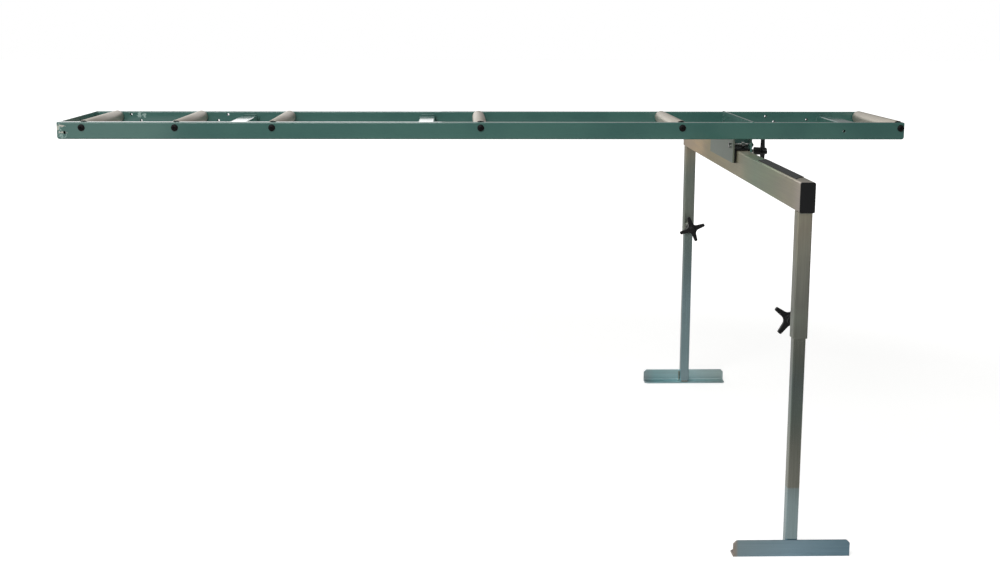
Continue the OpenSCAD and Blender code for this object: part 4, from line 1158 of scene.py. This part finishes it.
def foot_angle(low, high, way, wall, fillet, toe, cut):
    """Rolled angle along X, its upright at one side of the foot, its free corners cut off."""
    width, height = high.y - low.y, high.z - low.z
    outer = low.y if way > 0 else high.y
    section = [(0, 0), (width, 0)]
    section += arc((width - toe, wall - toe), toe, 0, 90, 6)
    section += arc((wall + fillet, wall + fillet), fillet, 270, 180, 6)
    section += arc((wall - toe, height - toe), toe, 0, 90, 6)
    section += [(0, height)]
    bm = bmesh.new()
    ends = [[bm.verts.new((x, outer + way * u, low.z + v)) for u, v in section] for x in (low.x, high.x)]
    for ring in ends:
        bm.faces.new(ring)
    wall_between(bm, ends)
    bmesh.ops.recalc_face_normals(bm, faces=bm.faces)
    free = outer + way * width
    for x, side in ((low.x, -1), (high.x, 1)):
        for corner, normal in (
            (Vector((x - side * cut, free, low.z)), Vector((side, way, 0))),
            (Vector((x - side * cut, outer, high.z)), Vector((side, 0, 1))),
        ):
            made = bmesh.ops.bisect_plane(
                bm, geom=bm.verts[:] + bm.edges[:] + bm.faces[:], dist=SAME_POINT, plane_co=corner,
                plane_no=normal, clear_outer=True,
            )
            rims = [e for e in made["geom_cut"] if isinstance(e, bmesh.types.BMEdge) and e.is_boundary]
            bmesh.ops.holes_fill(bm, edges=rims)
    bmesh.ops.recalc_face_normals(bm, faces=bm.faces)
    return bm


class PlateTrestle(bpy.types.Operator):
    """Round the trestle's edges and plate its beam, legs, bosses and feet"""

    bl_idname = "roller_table.plate_trestle"
    bl_label = "Plate the trestle"

    def execute(self, context):
        sizes = context.scene.roller_table_sizes
        soften("beam", finish_named("zinc_beam"), sizes.tube_edge)
        for side, way in (("near", 1), ("far", -1)):
            soften(side + "_leg_tube", finish_named(f"zinc_{side}_tube"), sizes.tube_edge)
            soften(side + "_lock_boss", finish_named("plated_fastener"), sizes.tube_edge)
            soften(side + "_inner_leg", finish_named(f"zinc_{side}_leg"), sizes.tube_edge)
            low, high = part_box(side + "_foot")
            angle = foot_angle(low, high, way, FOOT_WALL, sizes.root_fillet, sizes.toe, FOOT_CUT)
            soften(side + "_foot", finish_named(f"zinc_{side}_foot"), sizes.foot_edge, segments=3, bm=angle)
            soften(side + "_leg_plug", finish_named("moulded_polyamide"), sizes.tube_edge)
        return {"FINISHED"}


class CapBeam(bpy.types.Operator):
    """Fit the moulded caps in the beam's ends"""

    bl_idname = "roller_table.cap_beam"
    bl_label = "Cap the beam"

    def execute(self, context):
        sizes = context.scene.roller_table_sizes
        soften("beam_end_caps", finish_named("moulded_polyamide"), sizes.cap_edge, segments=4)
        return {"FINISHED"}


class LayGripStrip(bpy.types.Operator):
    """Lay the ribbed rubber strip on the beam's top"""

    bl_idname = "roller_table.lay_grip_strip"
    bl_label = "Lay the grip strip"

    def execute(self, context):
        sizes = context.scene.roller_table_sizes
        low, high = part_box("grip_strip")
        rubber = finish_named("ribbed_rubber")
        bm = joined_faces("grip_strip")
        slant = min(v.co.y for v in bm.verts if v.co.x > high.x - MM) - low.y
        bmesh.ops.bevel(bm, geom=bm.edges[:], offset=STRIP_EDGE, segments=2, affect="EDGES")
        spare = (sizes.rib_width + sizes.rib_skew + slant) / 2
        count = int((high.y - low.y - 2 * spare) / sizes.rib_spacing) + 1
        first_y = (low.y + high.y - (count - 1) * sizes.rib_spacing) / 2
        mesh = grown_mesh(from_bmesh(bm), rib_tree(), {
            "First": ((low.x + high.x) / 2, first_y, high.z - RIB_SINK), "Spacing": sizes.rib_spacing,
            "Count": count, "Across": high.x - low.x - RIB_MARGIN, "Skew": sizes.rib_skew,
            "Width": sizes.rib_width, "Height": sizes.rib_height, "Material": rubber,
        })
        smooth_by_angle(mesh, 40)
        add_piece("grip_strip_ribbed", mesh, rubber, "grip_strip")
        return {"FINISHED"}


class ThreadScrews(bpy.types.Operator):
    """Cut the threads of the lock screws and the clamp screw"""

    bl_idname = "roller_table.thread_screws"
    bl_label = "Thread the lock screws"

    def execute(self, context):
        sizes = context.scene.roller_table_sizes
        plated = finish_named("plated_fastener")
        for node, axis, pitch in (
            ("near_lock_screw", 1, sizes.leg_pitch), ("far_lock_screw", 1, sizes.leg_pitch),
            ("clamp_screw", 0, sizes.clamp_pitch),
        ):
            low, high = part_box(node)
            start, finish = centre_of((low, high)), centre_of((low, high))
            start[axis], finish[axis] = low[axis], high[axis]
            mesh = threaded_mesh([(start, finish)], (high.z - low.z) / 2, pitch, plated)
            add_piece(node + "_threaded", mesh, plated, node)
        return {"FINISHED"}


def arm_outline(radius):
    """Outline of a four-arm star: tapering arms with blunt tips and round hollows between them."""
    corner = TIP_ROUND * ARM_TIP
    hollow = ARM_ROOT / 2 + HOLLOW_R
    arm = []
    for side, first in ((-1, -90), (1, 0)):
        arm += arc((radius - corner, side * (ARM_TIP / 2 - corner)), corner, first, first + 90, 6)
    arm += arc((hollow, hollow), HOLLOW_R, -90, -180, 12)
    return [Matrix.Rotation(turn * math.pi / 2, 2) @ Vector(point) for turn in range(4) for point in arm]


def knob_mesh(radius, length, voxel):
    """Moulded star knob along +Z from its hub's inner end, its first arm along +X."""
    bm = bmesh.new()
    plane = length * ARM_PLANE
    bottom, top = plane - ARM_THICKNESS / 2, plane + ARM_THICKNESS / 2
    outline = arm_outline(radius)
    faces = [[bm.verts.new((p.x, p.y, z)) for p in outline] for z in (bottom, top)]
    for ring in faces:
        bm.faces.new(ring)
    wall_between(bm, faces)
    rims = [e for e in bm.edges if abs(e.verts[0].co.z - e.verts[1].co.z) < 0.01 * MM]
    bmesh.ops.bevel(bm, geom=rims, offset=ARM_ROUND * ARM_THICKNESS, segments=3, profile=0.5, affect="EDGES")
    crown = [
        (CROWN_R * across, length - CROWN_ROUND + CROWN_ROUND * up)
        for across, up in arc((0, 0), 1, 0, 75, 5)
    ]
    turn_profile(bm, [
        (0, 0), (HUB_R - HUB_EDGE, 0), (HUB_R, HUB_EDGE), (WAIST_R, bottom), (WAIST_R, plane),
        (HUB_R, top - MM), *crown, (0, length),
    ], (0, 0, 0), (0, 0, 1), segments=72, closed=False)
    shape = temporary(from_bmesh(bm))
    melt = shape.modifiers.new("Mould", "REMESH")
    melt.mode = "VOXEL"
    melt.voxel_size = voxel
    melt.use_smooth_shade = True
    soft = shape.modifiers.new("Fillets", "SMOOTH")
    soft.factor = 0.5
    soft.iterations = 3
    return evaluated_mesh(shape)


class MouldKnobs(bpy.types.Operator):
    """Mould the three star knobs with rounded arms and filleted hubs"""

    bl_idname = "roller_table.mould_knobs"
    bl_label = "Mould the star knobs"

    def execute(self, context):
        sizes = context.scene.roller_table_sizes
        plastic = finish_named("moulded_polyamide")
        for node, screw, axis in (
            ("near_lock_knob", "near_lock_screw", (0, 1, 0)),
            ("far_lock_knob", "far_lock_screw", (0, -1, 0)),
            ("clamp_knob", "clamp_screw", (1, 0, 0)),
        ):
            along = Vector(axis)
            low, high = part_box(node)
            centre = centre_of(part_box(screw))
            centre += along * (min(low.dot(along), high.dot(along)) - centre.dot(along))
            # The arm that reaches furthest gives the knob's turn and its radius
            offsets = [vertex.co - centre for vertex in frame["nodes"][node].data.vertices]
            reaches = [offset - offset.dot(along) * along for offset in offsets]
            first_arm = max(reaches, key=lambda reach: reach.length)
            mesh = knob_mesh(first_arm.length, abs((high - low).dot(along)), sizes.knob_voxel)
            first_arm.normalize()
            basis = Matrix((first_arm, along.cross(first_arm), along)).transposed().to_4x4()
            mesh.transform(Matrix.Translation(centre) @ basis)
            add_piece(node + "_moulded", mesh, plastic, node)
        return {"FINISHED"}


class SetStage(bpy.types.Operator):
    """Set the pale floor, the soft studio light and the photograph's camera"""

    bl_idname = "roller_table.set_stage"
    bl_label = "Set the stage"

    def execute(self, context):
        scene = context.scene
        scene.view_settings.view_transform = "Standard"
        self.camera(scene)
        self.floor(scene)
        self.world(scene)
        for name, (place, target, width, height, watts) in LAMPS.items():
            light = bpy.data.lights.new(name, "AREA")
            light.shape = "RECTANGLE"
            light.size = width
            light.size_y = height
            light.energy = watts
            lamp = bpy.data.objects.new(name, light)
            lamp.location = place
            lamp.visible_camera = False
            lamp.rotation_euler = (Vector(target) - Vector(place)).to_track_quat("-Z", "Y").to_euler()
            scene.collection.objects.link(lamp)
        return {"FINISHED"}

    @staticmethod
    def camera(scene):
        """Camera at the photograph's place, turn and field of view."""
        turn = (
            Matrix.Rotation(math.radians(CAMERA_YAW), 3, "Z")
            @ Matrix.Rotation(math.radians(CAMERA_PITCH), 3, "X")
            @ Matrix.Rotation(math.radians(CAMERA_ROLL), 3, "Y")
        )
        right, ahead, up = turn.col
        data = bpy.data.cameras.new("camera")
        data.sensor_width = SENSOR_MM
        data.lens = FOCAL_PIXELS / IMAGE_WIDTH * SENSOR_MM
        camera = bpy.data.objects.new("camera", data)
        axes = Matrix((right, up, -ahead)).transposed().to_4x4()
        camera.matrix_world = Matrix.Translation(CAMERA_PLACE) @ axes
        scene.collection.objects.link(camera)
        scene.camera = camera

    @staticmethod
    def shown_rays(tree):
        """1 for rays from the camera, and 1 for rays that metal and glass send on."""
        rays = add_node(tree, "ShaderNodeLightPath").outputs
        glossy, through = rays["Is Glossy Ray"], rays["Is Transmission Ray"]
        return rays["Is Camera Ray"], add_node(tree, MATH, glossy, through, operation="MAXIMUM")

    def floor(self, scene):
        """White paper on a darker studio floor: both are shown white and keep the object's shadow."""
        colours = scene.roller_table_colours
        bm = bmesh.new()
        bmesh.ops.create_grid(bm, x_segments=1, y_segments=1, size=FLOOR_SIZE)
        mesh = plain_mesh(bm)
        material, tree, shader, place = new_finish(
            "paper_and_floor", colours.paper, 0.0, 0.9,
            {"Specular IOR Level": 0.1, "Emission Color": (1, 1, 1, 1)},
        )
        ahead = add_node(tree, "ShaderNodeSeparateXYZ", place).outputs["Y"]
        floor_side, paper_side = (1 + PAPER_FADE) * PAPER_EDGE, (1 - PAPER_FADE) * PAPER_EDGE
        paper = add_node(tree, MAP_RANGE, {"Value": ahead, "From Min": floor_side, "From Max": paper_side})
        colour = add_node(tree, MIX, {
            MIX_FACTOR: paper, MIX_A: (*colours.room, 1), MIX_B: (*colours.paper, 1),
        }, data_type="RGBA").outputs[MIX_RESULT]
        # The camera sees the floor lifted to white, and far from the table fully white, without a horizon
        away = add_node(tree, VECTOR_MATH, place, operation="LENGTH").outputs["Value"]
        darker = SHOWN_PAPER - SHOWN_FLOOR
        near_level = add_node(tree, MATH, paper, darker, SHOWN_FLOOR, operation="MULTIPLY_ADD")
        fade = add_node(
            tree, MAP_RANGE, {"Value": away, "From Min": WHITE_FROM, "From Max": WHITE_TO},
            interpolation_type="SMOOTHSTEP",
        )
        level = add_node(tree, MIX, {
            MIX_FACTOR: fade, MIX_NUMBER_A: near_level, MIX_NUMBER_B: 1.0,
        }, data_type="FLOAT")
        camera, mirrored = self.shown_rays(tree)
        seen = add_node(tree, MATH, camera, level, operation="MULTIPLY")
        # The bright part of the studio floor begins 3 m in front of the table and ends at 9 m
        rise = add_node(tree, MAP_RANGE, {
            "Value": ahead, "From Min": BRIGHT_NEAR_END[0], "From Max": BRIGHT_NEAR_END[1],
        })
        fall = add_node(tree, MAP_RANGE, {
            "Value": ahead, "From Min": BRIGHT_FAR_END[0], "From Max": BRIGHT_FAR_END[1],
            "To Min": 1.0, "To Max": BEYOND_BRIGHT,
        })
        bright_part = add_node(tree, MATH, rise, fall, operation="MULTIPLY")
        surroundings = add_node(tree, MATH, paper, MIRRORED_PAPER, bright_part, operation="MULTIPLY_ADD")
        reflected = add_node(tree, MATH, mirrored, surroundings, operation="MULTIPLY")
        glow = add_node(tree, MATH, seen, reflected, operation="ADD")
        wire(tree, shader, {"Base Color": colour, "Emission Strength": glow})
        mesh.materials.append(material)
        floor = bpy.data.objects.new("floor", mesh)
        scene.collection.objects.link(floor)

    def world(self, scene):
        """White surroundings for the camera, while the object is lit from the left and the back."""
        world = bpy.data.worlds.new("studio")
        scene.world = world
        world.use_nodes = True
        tree = world.node_tree
        camera, mirrored = self.shown_rays(tree)
        way = add_node(tree, "ShaderNodeTexCoord").outputs["Generated"]
        parts = add_node(tree, "ShaderNodeSeparateXYZ", way).outputs
        side, depth, behind = (
            add_node(tree, MAP_RANGE, {
                "Value": parts[axis], "From Min": low, "From Max": high, "To Min": first, "To Max": last,
            }, interpolation_type="SMOOTHSTEP")
            for axis, low, high, first, last in ROOM_FADES
        )
        front_back = add_node(tree, MATH, depth, behind, operation="MULTIPLY")
        lit = add_node(tree, MATH, side, front_back, operation="MULTIPLY")
        gain = MIRRORED_ROOM_LEVEL - ROOM_LEVEL
        level = add_node(tree, MATH, mirrored, gain, ROOM_LEVEL, operation="MULTIPLY_ADD")
        lighting = add_node(tree, MATH, lit, level, operation="MULTIPLY")
        strength = add_node(tree, MATH, camera, lighting, operation="MAXIMUM")
        wire(tree, tree.nodes["Background"], {"Color": (1, 1, 1, 1), "Strength": strength})


OPERATORS = (
    PaintFrame, LayWelds, FitAxleScrews, DressRollers, FitClamp, PlateTrestle, CapBeam, LayGripStrip,
    ThreadScrews, MouldKnobs, SetStage,
)


class RollerTablePanel(bpy.types.Panel):
    """Lists the steps that dress the roller table"""

    bl_idname = "VIEW3D_PT_roller_table"
    bl_label = "Roller table"
    bl_space_type = "VIEW_3D"
    bl_region_type = "UI"
    bl_category = "Roller table"

    def draw(self, context):
        for operator in OPERATORS:
            self.layout.operator(operator.bl_idname)
        for group in (context.scene.roller_table_colours, context.scene.roller_table_sizes):
            for name in group.__annotations__:
                self.layout.prop(group, name)


def register():
    """Registers the properties, the operators and the panel."""
    for kind in (RollerTableColours, RollerTableSizes, *OPERATORS, RollerTablePanel):
        bpy.utils.register_class(kind)
    bpy.types.Scene.roller_table_colours = bpy.props.PointerProperty(type=RollerTableColours)
    bpy.types.Scene.roller_table_sizes = bpy.props.PointerProperty(type=RollerTableSizes)


def unregister():
    """Takes everything back that register() added."""
    del bpy.types.Scene.roller_table_colours
    del bpy.types.Scene.roller_table_sizes
    for kind in (RollerTablePanel, *reversed(OPERATORS), RollerTableSizes, RollerTableColours):
        bpy.utils.unregister_class(kind)


def main():
    register()
    steps = bpy.ops.roller_table
    steps.paint_frame()
    steps.lay_welds()
    steps.fit_axle_screws()
    steps.dress_rollers()
    steps.fit_clamp()
    steps.plate_trestle()
    steps.cap_beam()
    steps.lay_grip_strip()
    steps.thread_screws()
    steps.mould_knobs()
    steps.set_stage()


if __name__ == "__main__":
    main()
